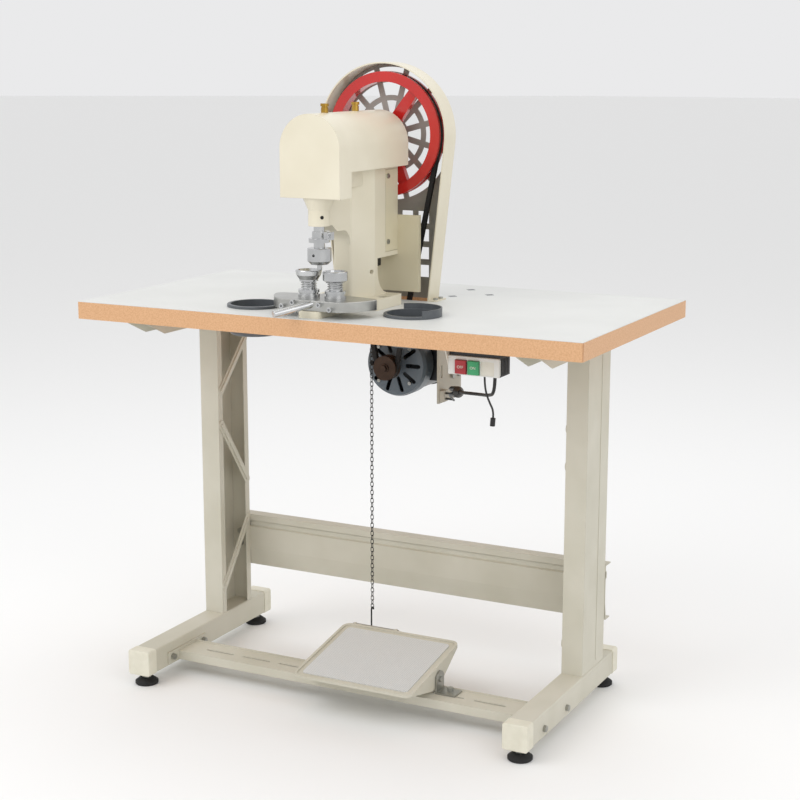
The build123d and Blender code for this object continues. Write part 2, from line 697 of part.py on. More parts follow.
with BuildPart() as pull_chain:
    with BuildLine(Plane.YZ.offset(machine_x)) as hook_path:
        CenterArc((rod_world_y, rod_world_z), hook_loop, 150, 210)
        Line((rod_world_y + hook_loop, rod_world_z), (rod_world_y + hook_loop, crown_z - hook_crown))
        CenterArc((chain_y, crown_z - hook_crown), hook_crown, 180, -205)
    with BuildSketch(Plane(origin=hook_path.wire() @ 0, z_dir=hook_path.wire() % 0)):
        Circle(hook_wire)
    sweep(path=hook_path.wire())
    links = [Location((machine_x, chain_y, first_link_z + index * link_pitch), (0, 0, 90 * (index % 2)))
             for index in range(link_count)]
    with Locations(*links):
        add(link.part)
pull_chain.part.label = "pull_chain"
export_step(pull_chain.part, "parts/pull_chain.step")
print("chain links", link_count, "top eye at", round(chain_eye_z, 2))

# Press casting: base, tongue, column, web and guide boss
base_top = table_height + base_height
throat_radius = 24.0
notch_top = 838.0
notch_front = front_edge + 205.0
flare_radius = 45.0
panel_y = (front_edge + 237.0, column_back)
panel_z = (847.0, 998.0)
panel_sheet = 2.0
panel_joint = 0.6
panel_screw_y = panel_y[0] + 9.0
panel_screw_zs = (panel_z[0] + 18.0, panel_z[1] - 12.0)
deck_z = (column_top + 3.0, column_top + 17.0)
deck_half_width = cover_half_width - cover_sheet
bearing_ys = (front_edge + 92.0, front_edge + 252.0)
bearing_length = 34.0
with BuildPart() as machine_frame:
    with BuildSketch(Plane.XY.offset(table_height)) as base_outline:
        with Locations((machine_x, (base_front + base_back) / 2)):
            RectangleRounded(2 * base_half_width, base_back - base_front, 6.0)
    extrude(amount=base_height)
    with BuildSketch(Plane.XY.offset(table_height)) as tongue_outline:
        with Locations((machine_x, (tongue_front + base_front + 12.0) / 2)):
            RectangleRounded(2 * tongue_half_width, base_front + 12.0 - tongue_front, 9.0)
    extrude(amount=tongue_height)
    with BuildSketch(Plane.XY.offset(table_height)) as column_outline:
        with BuildLine():
            Polyline((machine_x - nose_half_width, nose_front), (machine_x + nose_half_width, nose_front),
                     (machine_x + column_half_width, ridge_y), (machine_x + column_half_width, column_back),
                     (machine_x - column_half_width, column_back), (machine_x - column_half_width, ridge_y),
                     close=True)
        make_face()
        corners = column_outline.vertices().group_by(Axis.Y)
        fillet(corners[0], radius=8.0)
        fillet(corners[1], radius=26.0)
    extrude(amount=column_top - table_height)
    with BuildSketch(Plane.YZ.offset(machine_x)) as web_outline:
        with BuildLine():
            Polyline((ram_y, boss_bottom), (ram_y + boss_radius - 2.0, boss_bottom),
                     (ram_y + boss_radius + 14.0, throat_top + 2.0), (nose_front, throat_top),
                     (nose_front, throat_top - throat_radius - 2.0), (nose_front + 20.0, throat_top - throat_radius - 2.0),
                     (nose_front + 20.0, column_top), (ram_y, column_top), close=True)
        make_face()
        throat_corner = web_outline.vertices().sort_by_distance((nose_front, throat_top))[0]
        fillet(throat_corner, radius=throat_radius)
    extrude(amount=nose_half_width, both=True)
    with BuildSketch(Plane.YZ.offset(machine_x)) as notch:
        with BuildLine():
            Polyline((notch_front, base_top + flare_radius), (notch_front, notch_top),
                     (column_back + 1.0, notch_top), (column_back + 1.0, base_top),
                     (notch_front + flare_radius, base_top))
            CenterArc((notch_front + flare_radius, base_top + flare_radius), flare_radius, 180, 90)
        make_face()
    extrude(amount=column_half_width + 1.0, both=True, mode=Mode.SUBTRACT)
    block(around(machine_x, column_half_width + 1.0), (base_back, column_back + 1.0),
          (table_height, base_top + 1.0), Mode.SUBTRACT)
    with BuildSketch(Plane.XZ.offset(-ram_y)) as boss:
        with BuildLine():
            Polyline((machine_x, boss_bottom), (machine_x + boss_radius, boss_bottom),
                     (machine_x + boss_radius, cover_front_bottom - 22.0), (machine_x + boss_flare, cover_front_bottom),
                     (machine_x + boss_flare, deck_z[0]), (machine_x, deck_z[0]), close=True)
        make_face()
    revolve(axis=Axis((machine_x, ram_y, 0), (0, 0, 1)))
    block(around(machine_x, deck_half_width), (cover_front + 6.0, column_back), deck_z)
    block(around(machine_x, boss_flare), (ram_y, column_back), (column_top - 30.0, deck_z[0]))
    for bearing_y in bearing_ys:
        span = around(bearing_y, bearing_length / 2)
        block(around(machine_x, shaft_radius + bearing_wall), span, (deck_z[1], shaft_z))
        rod("Y", (machine_x, shaft_z), span, shaft_radius + bearing_wall)
        rod("Y", (machine_x, shaft_z), span, shaft_radius + running_fit, Mode.SUBTRACT)
    rod("Z", (machine_x, ram_y), (boss_bottom, deck_z[1]), ram_radius + running_fit, Mode.SUBTRACT)
    for side in (-1, 1):
        pocket = tuple(sorted((machine_x + side * (column_half_width - panel_sheet),
                               machine_x + side * (column_half_width + 1.0))))
        block(pocket, (panel_y[0] - panel_joint, panel_y[1]), (panel_z[0] - panel_joint, panel_z[1] + panel_joint),
              Mode.SUBTRACT)
    for bolt_x, bolt_y in base_bolt_spots:
        rod("Z", (bolt_x, bolt_y), (table_height, base_top), base_bolt_radius + hole_clearance, Mode.SUBTRACT)
        rod("Z", (bolt_x, bolt_y), (base_top - 7.0, base_top), 2 * base_bolt_radius, Mode.SUBTRACT)
    rod("Z", (machine_x, pivot_y), (table_height, table_height + tongue_height), pivot_radius - 2.0, Mode.SUBTRACT)
    rod("X", (ridge_y - 7.0, 815.0), around(machine_x, column_half_width + 1.0), 4.0, Mode.SUBTRACT)
    for screw_z in panel_screw_zs:
        rod("X", (panel_screw_y, screw_z), around(machine_x, column_half_width), panel_screw_radius, Mode.SUBTRACT)
machine_frame.part.label = "machine_frame"
export_step(machine_frame.part, "parts/machine_frame.step")

# Side panels let into the rear of the column
with BuildPart() as column_panels:
    for side in (-1, 1):
        panel = tuple(sorted((machine_x + side * (column_half_width - panel_sheet), machine_x + side * column_half_width)))
        block(panel, panel_y, panel_z)
        for screw_z in panel_screw_zs:
            rod("X", (panel_screw_y, screw_z), panel, panel_screw_radius, Mode.SUBTRACT)
column_panels.part.label = "column_panels"
export_step(column_panels.part, "parts/column_panels.step")

# Head cover: a sheet hood with a half-round top, lower at its front
with BuildPart() as head_cover:
    with BuildSketch(Plane.XZ.offset(-cover_front)) as hood:
        with Locations((machine_x, cover_arch_z)):
            Circle(cover_half_width)
        with Locations((machine_x, (cover_arch_z + cover_front_bottom) / 2)):
            Rectangle(2 * cover_half_width, cover_arch_z - cover_front_bottom)
    extrude(hood.sketch, amount=-(cover_back - cover_front))
    with BuildSketch(Plane.XZ.offset(-cover_front - cover_sheet)) as hollow:
        with Locations((machine_x, cover_arch_z)):
            Circle(cover_half_width - cover_sheet)
        with Locations((machine_x, (cover_arch_z + cover_front_bottom) / 2)):
            Rectangle(2 * (cover_half_width - cover_sheet), cover_arch_z - cover_front_bottom)
    extrude(hollow.sketch, amount=-(cover_back - cover_front), mode=Mode.SUBTRACT)
    block(around(machine_x, cover_half_width + 1.0), (cover_step, cover_back + 1.0),
          (cover_front_bottom - 1.0, cover_bottom), Mode.SUBTRACT)
    for oiler_y in oiler_spots:
        rod("Z", (machine_x, oiler_y), (cover_arch_z, cover_arch_z + cover_half_width + 1.0), 5.0, Mode.SUBTRACT)
head_cover.part.label = "head_cover"
export_step(head_cover.part, "parts/head_cover.step")

# Oilers: brass cups screwed through the cover, with a knurled lid
cover_top = cover_arch_z + cover_half_width
with BuildPart() as oilers:
    for oiler_y in oiler_spots:
        rod("Z", (machine_x, oiler_y), (cover_top - 12.0, cover_top), 5.0)
        rod("Z", (machine_x, oiler_y), (cover_top, cover_top + 9.0), 6.5)
        rod("Z", (machine_x, oiler_y), (cover_top + 9.0, cover_top + 11.0), 5.5)
        rod("Z", (machine_x, oiler_y), (cover_top + 11.0, cover_top + 16.0), 7.5)
oilers.part.label = "oilers"
export_step(oilers.part, "parts/oilers.step")

# Sheet between the column and the belt, with its edges turned back
shield_half_width = 84.0
shield_z = (768.0, 912.0)
shield_return = 9.0
with BuildPart() as belt_shield:
    block(around(machine_x, shield_half_width), (column_back, column_back + shield_sheet), shield_z)
    for side in (-1, 1):
        edge = tuple(sorted((machine_x + side * shield_half_width,
                             machine_x + side * (shield_half_width - shield_sheet))))
        block(edge, (column_back, column_back + shield_return), shield_z)
belt_shield.part.label = "belt_shield"
export_step(belt_shield.part, "parts/belt_shield.step")

# Crankshaft with its eccentric pin, and the ram with the slot that the pin drives
pin_throw = ram_stroke / 2
crank_web_y = (front_edge + 73.0, bearing_ys[0] - bearing_length / 2 - 0.5)
shaft_end = fly_y + fly_width / 2 + 5.0
with BuildPart() as crankshaft:
    rod("Y", (machine_x, shaft_z), (crank_web_y[1], shaft_end), shaft_radius)
    rod("Y", (machine_x, shaft_z), (crank_web_y[1] - 1.0, crank_web_y[1]), shaft_radius + 4.0)
    crank_web_y = (crank_web_y[0] - 2.0, crank_web_y[1])
    rod("Y", (machine_x, shaft_z), crank_web_y, shaft_radius + 1.0)
    rod("Y", (machine_x, shaft_z + pin_throw), (ram_y - 9.0, crank_web_y[0]), crank_pin_radius)
crankshaft.part.label = "crankshaft"
export_step(crankshaft.part, "parts/crankshaft.step")

yoke_half_width = crank_pin_radius + pin_throw + 8.0
yoke_slot = (crank_pin_radius + pin_throw + yoke_play, crank_pin_radius + yoke_play)
yoke_z = around(shaft_z + pin_throw, crank_pin_radius + yoke_play + 7.0)
yoke_half_depth = 8.0
die_top = die_bottom + die_height
with BuildPart() as ram:
    rod("Z", (machine_x, ram_y), (die_bottom + 8.0, yoke_z[0]), ram_radius)
    block(around(machine_x, yoke_half_width), around(ram_y, yoke_half_depth), yoke_z)
    block(around(machine_x, yoke_slot[0]), around(ram_y, yoke_half_depth),
          around(shaft_z + pin_throw, yoke_slot[1]), Mode.SUBTRACT)
ram.part.label = "ram"
export_step(ram.part, "parts/ram.step")

# Clamp collar on the ram, with its screw, and the upper die with its punch tip
collar_z = (die_top + 10.0, die_top + 10.0 + collar_height)
ear_z = (collar_z[1] - 2.0, collar_z[1] + 12.0)
with BuildPart() as ram_collar:
    rod("Z", (machine_x, ram_y), collar_z, collar_radius)
    rod("Z", (machine_x, ram_y), ear_z, ram_radius + 3.0)
    block((machine_x, machine_x + 27.0), around(ram_y, 5.5), ear_z)
    rod("Z", (machine_x, ram_y), (collar_z[0], ear_z[1]), ram_radius, Mode.SUBTRACT)
    rod("Y", (machine_x + 20.5, (ear_z[0] + ear_z[1]) / 2), (ram_y - 12.0, ram_y + 9.0), 4.5)
ram_collar.part.label = "ram_collar"
export_step(ram_collar.part, "parts/ram_collar.step")

with BuildPart() as upper_die:
    with BuildSketch(Plane.XZ.offset(-ram_y)) as die_profile:
        with BuildLine():
            Polyline((machine_x, die_bottom - tip_length), (machine_x + tip_radius - 1.0, die_bottom - tip_length),
                     (machine_x + tip_radius, die_bottom - tip_length + 1.5), (machine_x + tip_radius, die_bottom),
                     (machine_x + die_radius - 6.0, die_bottom), (machine_x + die_radius, die_bottom + 6.0),
                     (machine_x + die_radius, die_top - 1.0), (machine_x + die_radius - 1.0, die_top),
                     (machine_x, die_top), close=True)
        make_face()
    revolve(axis=Axis((machine_x, ram_y, 0), (0, 0, 1)))
    rod("Z", (machine_x, ram_y), (die_bottom + 8.0, die_top), ram_radius, Mode.SUBTRACT)
    rod("Y", (machine_x, die_bottom + 17.0), (ram_y - die_radius, ram_y - ram_radius), 2.5, Mode.SUBTRACT)
upper_die.part.label = "upper_die"
export_step(upper_die.part, "parts/upper_die.step")

# Die carrier: a sector plate that swings about its pivot bolt
handle_lead = Vector(-sin(radians(handle_angle)) * cos(radians(handle_fall)),
                     -cos(radians(handle_angle)) * cos(radians(handle_fall)), -sin(radians(handle_fall)))
handle_seat = 12.0
handle_tip_y = front_edge - handle_reach + handle_radius * (1 - handle_lead.Y ** 2) ** 0.5
handle_length = handle_seat + (carrier_front - handle_tip_y) / -handle_lead.Y
handle_face = Vector(machine_x + 2.0, carrier_front, table_height + tongue_height + carrier_play + 10.5)
handle_plane = Plane(origin=handle_face - handle_lead * handle_seat, z_dir=handle_lead)
set_screw_spots = ((-52.0, 6.0), (-30.0, 13.5), (23.0, 12.0), (45.0, 5.0))
set_screw_radius = 3.5
set_screw_depth = 10.0
carrier_z = (table_height + tongue_height + carrier_play, table_height + tongue_height + carrier_play + carrier_thickness)
side_corner = (carrier_radius - 8.0, front_edge + 92.0 - pivot_y)
pivot_lobe = 22.0
with BuildPart() as die_carrier:
    with BuildSketch(Plane.XY.offset(carrier_z[0])) as sector:
        with Locations((machine_x, pivot_y)):
            Circle(carrier_radius)
            Rectangle(3 * carrier_radius, carrier_radius, align=(Align.CENTER, Align.MAX), mode=Mode.INTERSECT)
        with Locations((machine_x, carrier_front)):
            Rectangle(3 * carrier_radius, carrier_radius, align=(Align.CENTER, Align.MAX), mode=Mode.SUBTRACT)
        for side in (-1, 1):
            with Locations((machine_x, pivot_y)):
                Polygon((side * 5, 1), (side * 200, 1), (side * 200, side_corner[1] * 2.1), align=None,
                        mode=Mode.SUBTRACT)
        fillet(sector.vertices().group_by(Axis.Y)[1:3], radius=14.0)
        with Locations((machine_x, pivot_y)):
            Circle(pivot_lobe)
            Circle(pivot_radius + running_fit, mode=Mode.SUBTRACT)
    extrude(amount=carrier_thickness)
    chamfer(die_carrier.faces().sort_by(Axis.Z)[-1].edges().filter_by(GeomType.LINE), length=1.0)
    with BuildSketch(handle_plane) as handle_hole:
        Circle(handle_radius)
    extrude(handle_hole.sketch, amount=3 * handle_seat, mode=Mode.SUBTRACT)
    for screw_x, screw_z in set_screw_spots:
        rod("Y", (machine_x + screw_x, carrier_z[0] + screw_z), (carrier_front, carrier_front + set_screw_depth),
            set_screw_radius, Mode.SUBTRACT)
die_carrier.part.label = "die_carrier"
export_step(die_carrier.part, "parts/die_carrier.step")

with BuildPart() as pivot_bolt:
    rod("Z", (machine_x, pivot_y), (table_height, table_height + tongue_height), pivot_radius - 2.0)
    rod("Z", (machine_x, pivot_y), (table_height + tongue_height, carrier_z[1] + carrier_play), pivot_radius)
    rod("Z", (machine_x, pivot_y), (carrier_z[1] + carrier_play, carrier_z[1] + carrier_play + 7.0), pivot_radius + 6.0)
pivot_bolt.part.label = "pivot_bolt"
export_step(pivot_bolt.part, "parts/pivot_bolt.step")

with BuildPart() as carrier_handle:
    with BuildSketch(handle_plane) as handle_section:
        Circle(handle_radius)
    extrude(handle_section.sketch, amount=handle_length)
    fillet(carrier_handle.edges().sort_by(Axis.Y)[0], radius=1.2)
carrier_handle.part.label = "carrier_handle"
export_step(carrier_handle.part, "parts/carrier_handle.step")

with BuildPart() as carrier_screws:
    for screw_x, screw_z in set_screw_spots:
        cap_screw((machine_x + screw_x, carrier_front, carrier_z[0] + screw_z), (0, 1, 0),
                  set_screw_depth, set_screw_radius, set_screw_radius + 1.0, 8.0)
carrier_screws.part.label = "carrier_screws"
export_step(carrier_screws.part, "parts/carrier_screws.step")

# Lower dies: a flanged base with a post, a sprung sleeve on the post, and the spring
die_reach = pivot_y - ram_y
die_spots = {name: (machine_x + side * die_reach * sin(radians(carrier_swing)),
                    pivot_y - die_reach * cos(radians(carrier_swing))) for side, name in ((-1, "left"), (1, "right"))}
base_tiers = ((0.0, 4.5, 19.5), (4.5, 8.0, 17.0), (8.0, lower_base_height, 19.0))
spring_foot = carrier_z[1] + lower_base_height
sleeve_z = (lower_die_top - sleeve_height, lower_die_top)
post_top = lower_die_top - 9.5
with BuildPart() as lower_die_bases:
    for spot in die_spots.values():
        for low, high, radius in base_tiers:
            rod("Z", spot, (carrier_z[1] + low, carrier_z[1] + high), radius)
        rod("Z", spot, (spring_foot, post_top), post_radius)
        rod("Z", spot, (post_top - 14.0, post_top), tip_radius + 1.5, Mode.SUBTRACT)
lower_die_bases.part.label = "lower_die_bases"
export_step(lower_die_bases.part, "parts/lower_die_bases.step")

sleeve_bore = post_radius + running_fit
neck_radius = 17.0
for name, spot in die_spots.items():
    with BuildPart() as die_sleeve:
        with BuildSketch(Plane.XZ.offset(-spot[1])) as sleeve_profile:
            with BuildLine():
                if name == "left":
                    Polyline((spot[0] + sleeve_bore, sleeve_z[0]), (spot[0] + neck_radius, sleeve_z[0]),
                             (spot[0] + neck_radius, sleeve_z[0] + 3), (spot[0] + lower_die_radius, sleeve_z[1] - 9),
                             (spot[0] + lower_die_radius + 1.5, sleeve_z[1] - 1.5),
                             (spot[0] + lower_die_radius + 0.5, sleeve_z[1]),
                             (spot[0] + lower_die_radius - 3.0, sleeve_z[1]), (spot[0] + sleeve_bore, sleeve_z[1] - 7),
                             close=True)
                else:
                    Polyline((spot[0] + sleeve_bore, sleeve_z[0]), (spot[0] + neck_radius, sleeve_z[0]),
                             (spot[0] + neck_radius, sleeve_z[0] + 1), (spot[0] + lower_die_radius, sleeve_z[0] + 4),
                             (spot[0] + lower_die_radius, sleeve_z[1] - 1), (spot[0] + lower_die_radius - 1, sleeve_z[1]),
                             (spot[0] + lower_die_radius - 5.0, sleeve_z[1]),
                             (spot[0] + lower_die_radius - 6.0, sleeve_z[1] - 6), (spot[0] + sleeve_bore, sleeve_z[1] - 6),
                             close=True)
            make_face()
        revolve(axis=Axis((spot[0], spot[1], 0), (0, 0, 1)))
    die_sleeve.part.label = f"{name}_die_sleeve"
    export_step(die_sleeve.part, f"parts/{name}_die_sleeve.step")


def biarc(start, start_way, end, end_way):
    """Two arcs that leave start and reach end along the given directions."""
    run = end - start
    ways = start_way + end_way
    spread = 2 * (1 - start_way.dot(end_way))
    reach = ((run.dot(ways) ** 2 + spread * run.dot(run)) ** 0.5 - run.dot(ways)) / spread
    first = start + start_way * reach
    last = end - end_way * reach
    meeting = (first + last) * 0.5
    TangentArc(start, meeting, tangent=start_way)
    TangentArc(meeting, end, tangent=(last - first).normalized())


# Springs under the sleeves, each one wire wound on the post
spring_radius = post_radius + spring_wire / 2 + 1.2
spring_turns = 3
spring_quarters = 4 * spring_turns
spring_low = spring_foot + spring_wire / 2 + 0.1
spring_high = sleeve_z[0] - spring_wire / 2 - 0.1
spring_rise = (spring_high - spring_low) / spring_quarters
for name, spot in die_spots.items():
    def wire_point(quarter):
        angle = radians(90 * quarter)
        return Vector(spot[0] + spring_radius * cos(angle), spot[1] + spring_radius * sin(angle),
                      spring_low + spring_rise * quarter)

    def wire_way(quarter):
        angle = radians(90 * quarter)
        return Vector(-spring_radius * sin(angle), spring_radius * cos(angle), spring_rise / (pi / 2)).normalized()

    with BuildPart() as die_spring:
        with BuildLine() as coil:
            for quarter in range(spring_quarters):
                biarc(wire_point(quarter), wire_way(quarter), wire_point(quarter + 1), wire_way(quarter + 1))
        with BuildSketch(Plane(origin=wire_point(0), z_dir=wire_way(0))):
            Circle(spring_wire / 2)
        sweep(path=coil.wire())
    die_spring.part.label = f"{name}_die_spring"
    export_step(die_spring.part, f"parts/{name}_die_spring.step")
print("spring gap between turns", round(4 * spring_rise - spring_wire, 2))

# Flywheel, its spokes and hub
rim_half = fly_width / 2
groove_depth = belt_height + 0.8
with BuildPart() as flywheel:
    with BuildSketch(Plane.YZ.offset(machine_x)) as rim:
        with BuildLine():
            Polyline((fly_y - rim_half, shaft_z + fly_inner), (fly_y + rim_half, shaft_z + fly_inner),
                     (fly_y + rim_half, shaft_z + fly_radius), (fly_y + belt_width / 2 + 0.8, shaft_z + fly_radius),
                     (fly_y + belt_width / 2 - 0.2, shaft_z + fly_radius - groove_depth),
                     (fly_y - belt_width / 2 + 0.2, shaft_z + fly_radius - groove_depth),
                     (fly_y - belt_width / 2 - 0.8, shaft_z + fly_radius), (fly_y - rim_half, shaft_z + fly_radius),
                     close=True)
        make_face()
    revolve(axis=Axis((machine_x, 0, shaft_z), (0, 1, 0)))
    with BuildSketch(Plane.XZ.offset(-(fly_y - 6.0))) as spokes:
        with Locations((machine_x, shaft_z)):
            with PolarLocations(0, 3, start_angle=53.0):
                Polygon((hub_radius - 4, -12), (fly_inner + 2, -9.5), (fly_inner + 2, 9.5), (hub_radius - 4, 12), align=None)
    extrude(spokes.sketch, amount=-12.0)
    rod("Y", (machine_x, shaft_z), around(fly_y, rim_half + 2.0), hub_radius)
    rod("Y", (machine_x, shaft_z), around(fly_y, rim_half + 2.0), shaft_radius + running_fit, Mode.SUBTRACT)
flywheel.part.label = "flywheel"
export_step(flywheel.part, "parts/flywheel.step")

# Motor pulley on the motor's shaft, held by a bolt and washer
pulley_y = around(fly_y, pulley_width / 2)
motor_shaft_radius = 7.0
with BuildPart() as motor_pulley:
    with BuildSketch(Plane.YZ.offset(machine_x)) as pulley_section:
        with BuildLine():
            Polyline((pulley_y[0], motor_z), (pulley_y[1], motor_z), (pulley_y[1], motor_z + pulley_radius),
                     (fly_y + belt_width / 2 + 0.8, motor_z + pulley_radius),
                     (fly_y + belt_width / 2 - 0.2, motor_z + pulley_radius - groove_depth),
                     (fly_y - belt_width / 2 + 0.2, motor_z + pulley_radius - groove_depth),
                     (fly_y - belt_width / 2 - 0.8, motor_z + pulley_radius), (pulley_y[0], motor_z + pulley_radius),
                     close=True)
        make_face()
    revolve(axis=Axis((machine_x, 0, motor_z), (0, 1, 0)))
    rod("Y", (machine_x, motor_z), (pulley_y[1], motor_front + 30.0), motor_shaft_radius)
    rod("Y", (machine_x, motor_z), (pulley_y[0] - 2.0, pulley_y[0]), 9.0)
    with BuildSketch(Plane.XZ.offset(-pulley_y[0] + 2.0)) as bolt_head_face:
        with Locations((machine_x, motor_z)):
            RegularPolygon(6.5, 6)
    extrude(bolt_head_face.sketch, amount=4.0)
motor_pulley.part.label = "motor_pulley"
export_step(motor_pulley.part, "parts/motor_pulley.step")


def belt_outline(fly_reach, pulley_reach, mode=Mode.ADD):
    """The outline of a loop round the flywheel and the motor pulley, in the open sketch."""
    distance = shaft_z - motor_z
    lean = asin((pulley_reach - fly_reach) / distance)
    with Locations((machine_x, shaft_z)):
        Circle(fly_reach, mode=mode)
    with Locations((machine_x, motor_z)):
        Circle(pulley_reach, mode=mode)
        Polygon((fly_reach * cos(lean), distance + fly_reach * sin(lean)),
                (-fly_reach * cos(lean), distance + fly_reach * sin(lean)),
                (-pulley_reach * cos(lean), pulley_reach * sin(lean)),
                (pulley_reach * cos(lean), pulley_reach * sin(lean)), align=None, mode=mode)


belt_drop = 0.4
belt_half = belt_width / 2 - 0.8
with BuildPart() as v_belt:
    with BuildSketch(Plane.XZ.offset(-fly_y + belt_half)) as belt_loop:
        belt_outline(fly_radius - belt_drop, pulley_radius - belt_drop)
        belt_outline(fly_radius - belt_drop - belt_height, pulley_radius - belt_drop - belt_height, Mode.SUBTRACT)
    extrude(belt_loop.sketch, amount=-2 * belt_half)
v_belt.part.label = "v_belt"
export_step(v_belt.part, "parts/v_belt.step")
print("belt ratio", round((fly_radius - belt_drop - belt_height / 2) / (pulley_radius - belt_drop - belt_height / 2), 4))


def guard_outline(inset, mode=Mode.ADD):
    """A round top with straight sides down to the table, in the open sketch."""
    radius = guard_radius - inset
    foot = guard_foot - inset
    rise = shaft_z - table_height
    lean = acos(radius / hypot(foot, rise)) - atan2(rise, foot)
    with Locations((machine_x, shaft_z)):
        Circle(radius, mode=mode)
        Polygon((foot, -rise), (radius * cos(lean), radius * sin(lean)),
                (-radius * cos(lean), radius * sin(lean)), (-foot, -rise), align=None, mode=mode)


# Belt guard: a wall round the flywheel and belt, open in front, with feet on the table
guard_depth = guard_back - guard_front
flange_sheet = 2.5
with BuildPart() as belt_guard:
    with BuildSketch(Plane.XZ.offset(-guard_front)) as wall:
        guard_outline(0.0)
        guard_outline(guard_sheet, Mode.SUBTRACT)
    extrude(wall.sketch, amount=-guard_depth)
    for side in (-1, 1):
        foot = tuple(sorted((machine_x + side * (guard_foot - 1.0), machine_x + side * (guard_foot + guard_flange))))
        block(foot, (guard_front, guard_back), (table_height, table_height + flange_sheet))
    for screw_x, screw_y in guard_screw_spots:
        rod("Z", (screw_x, screw_y), (table_height, table_height + flange_sheet), panel_screw_radius, Mode.SUBTRACT)
belt_guard.part.label = "belt_guard"
export_step(belt_guard.part, "parts/belt_guard.step")

# Grille at the back of the guard: rings and radial bars, then a ladder of windows below
grille_sheet = 2.5
grille_rings = ((34.0, 62.0), (72.0, 96.0), (106.0, 124.0))
grille_bar = 11.0
window_pitch = 34.0
window_size = 23.0
with BuildPart() as guard_grille:
    with BuildSketch(Plane.XZ.offset(-guard_back)) as grille_outline:
        guard_outline(guard_sheet)
    extrude(grille_outline.sketch, amount=grille_sheet)
    with BuildSketch(Plane.XZ.offset(-guard_back)) as windows:
        with Locations((machine_x, shaft_z)):
            for inner, outer in reversed(grille_rings):
                Circle(outer)
                Circle(inner, mode=Mode.SUBTRACT)
            with PolarLocations(0, 12, start_angle=15.0):
                Rectangle(guard_radius, grille_bar, align=(Align.MIN, Align.CENTER), mode=Mode.SUBTRACT)
        for row in range(4):
            with Locations((machine_x, shaft_z - guard_radius - 22.0 - row * window_pitch)):
                with GridLocations(window_pitch, 1, 5, 1):
                    Rectangle(window_size, window_size)
    extrude(windows.sketch, amount=grille_sheet, mode=Mode.SUBTRACT)
guard_grille.part.label = "guard_grille"
export_step(guard_grille.part, "parts/guard_grille.step")

# Motor: a vented front bell, a plain body with a lug, and the bracket plate under the board
bell_back = motor_front + bell_length
body_back = bell_back + motor_length
bell_wall = 3.5
vent_count = 10
lug_y = (bracket_span[0] + 48.0, bracket_span[0] + 96.0)
lug_z = (motor_z - 34.0, motor_z + 30.0)
motor_bolt_radius = 4.0
motor_bolt_spots = [(lug_y[0] + 10.0, lug_z[0] + 12.0), (lug_y[1] - 10.0, lug_z[0] + 12.0),
                    (lug_y[0] + 10.0, lug_z[1] - 12.0), (lug_y[1] - 10.0, lug_z[1] - 12.0)]
with BuildPart() as motor_bell:
    with BuildSketch(Plane.YZ.offset(machine_x)) as bell_section:
        with BuildLine():
            Polyline((motor_front, motor_z), (motor_front, motor_z + motor_radius - 12.0),
                     (motor_front + 3.5, motor_z + motor_radius - 3.5), (motor_front + 12.0, motor_z + motor_radius),
                     (bell_back, motor_z + motor_radius), (bell_back, motor_z), close=True)
        make_face()
    revolve(axis=Axis((machine_x, 0, motor_z), (0, 1, 0)))
    rod("Y", (machine_x, motor_z), (motor_front + bell_wall, bell_back), motor_radius - bell_wall - 1.0, Mode.SUBTRACT)
    rod("Y", (machine_x, motor_z), (motor_front - 2.0, bell_back - 6.0), 17.0)
    rod("Y", (machine_x, motor_z), (motor_front - 2.0, bell_back), motor_shaft_radius + running_fit, Mode.SUBTRACT)
    with BuildSketch(Plane.XZ.offset(-motor_front)) as vents:
        with Locations((machine_x, motor_z)):
            with PolarLocations((motor_radius + 17.0) / 2 - 1.0, vent_count):
                SlotOverall(motor_radius - 32.0, 8.0)
    extrude(vents.sketch, amount=-bell_wall, mode=Mode.SUBTRACT)
motor_bell.part.label = "motor_bell"
export_step(motor_bell.part, "parts/motor_bell.step")

with BuildPart() as motor_body:
    rod("Y", (machine_x, motor_z), (bell_back, body_back - 24.0), motor_radius - 3.0)
    rod("Y", (machine_x, motor_z), (body_back - 24.0, body_back), motor_radius)
    block((machine_x + motor_radius - 14.0, plate_x), lug_y, lug_z)
    fillet(motor_body.edges().filter_by(GeomType.CIRCLE).sort_by(Axis.Y)[-1], radius=7.0)
    for bolt_y, bolt_z in motor_bolt_spots:
        rod("X", (bolt_y, bolt_z), (plate_x - 14.0, plate_x), motor_bolt_radius, Mode.SUBTRACT)
motor_body.part.label = "motor_body"
export_step(motor_body.part, "parts/motor_body.step")

plate_outer = plate_x + plate_sheet
plate_bottom = 543.0
gland_x = (plate_outer, plate_outer + 9.5)
with BuildPart() as motor_bracket:
    block((plate_x, plate_outer), bracket_span, (plate_bottom, board_bottom))
    block((plate_outer, plate_outer + bracket_flange), bracket_span, (board_bottom - plate_sheet, board_bottom))
    for spot_x, spot_y in board_screw_spots[-2:]:
        rod("Z", (spot_x, spot_y), (board_bottom - plate_sheet, board_bottom), bolt_radius + hole_clearance, Mode.SUBTRACT)
    for bolt_y, bolt_z in motor_bolt_spots:
        rod("X", (bolt_y, bolt_z), (plate_x, plate_outer), motor_bolt_radius + hole_clearance, Mode.SUBTRACT)
    with BuildSketch(Plane.YZ.offset(plate_x)) as adjusting_slot:
        with Locations((bracket_span[0] + 12.0, plate_bottom + 62.0)):
            SlotOverall(26.0, 7.0, rotation=90)
    extrude(adjusting_slot.sketch, amount=plate_sheet, mode=Mode.SUBTRACT)
    block(gland_x, around(bracket_span[0] + 11.0, 9.0), around(plate_bottom + 15.0, 11.0))
motor_bracket.part.label = "motor_bracket"
export_step(motor_bracket.part, "parts/motor_bracket.step")

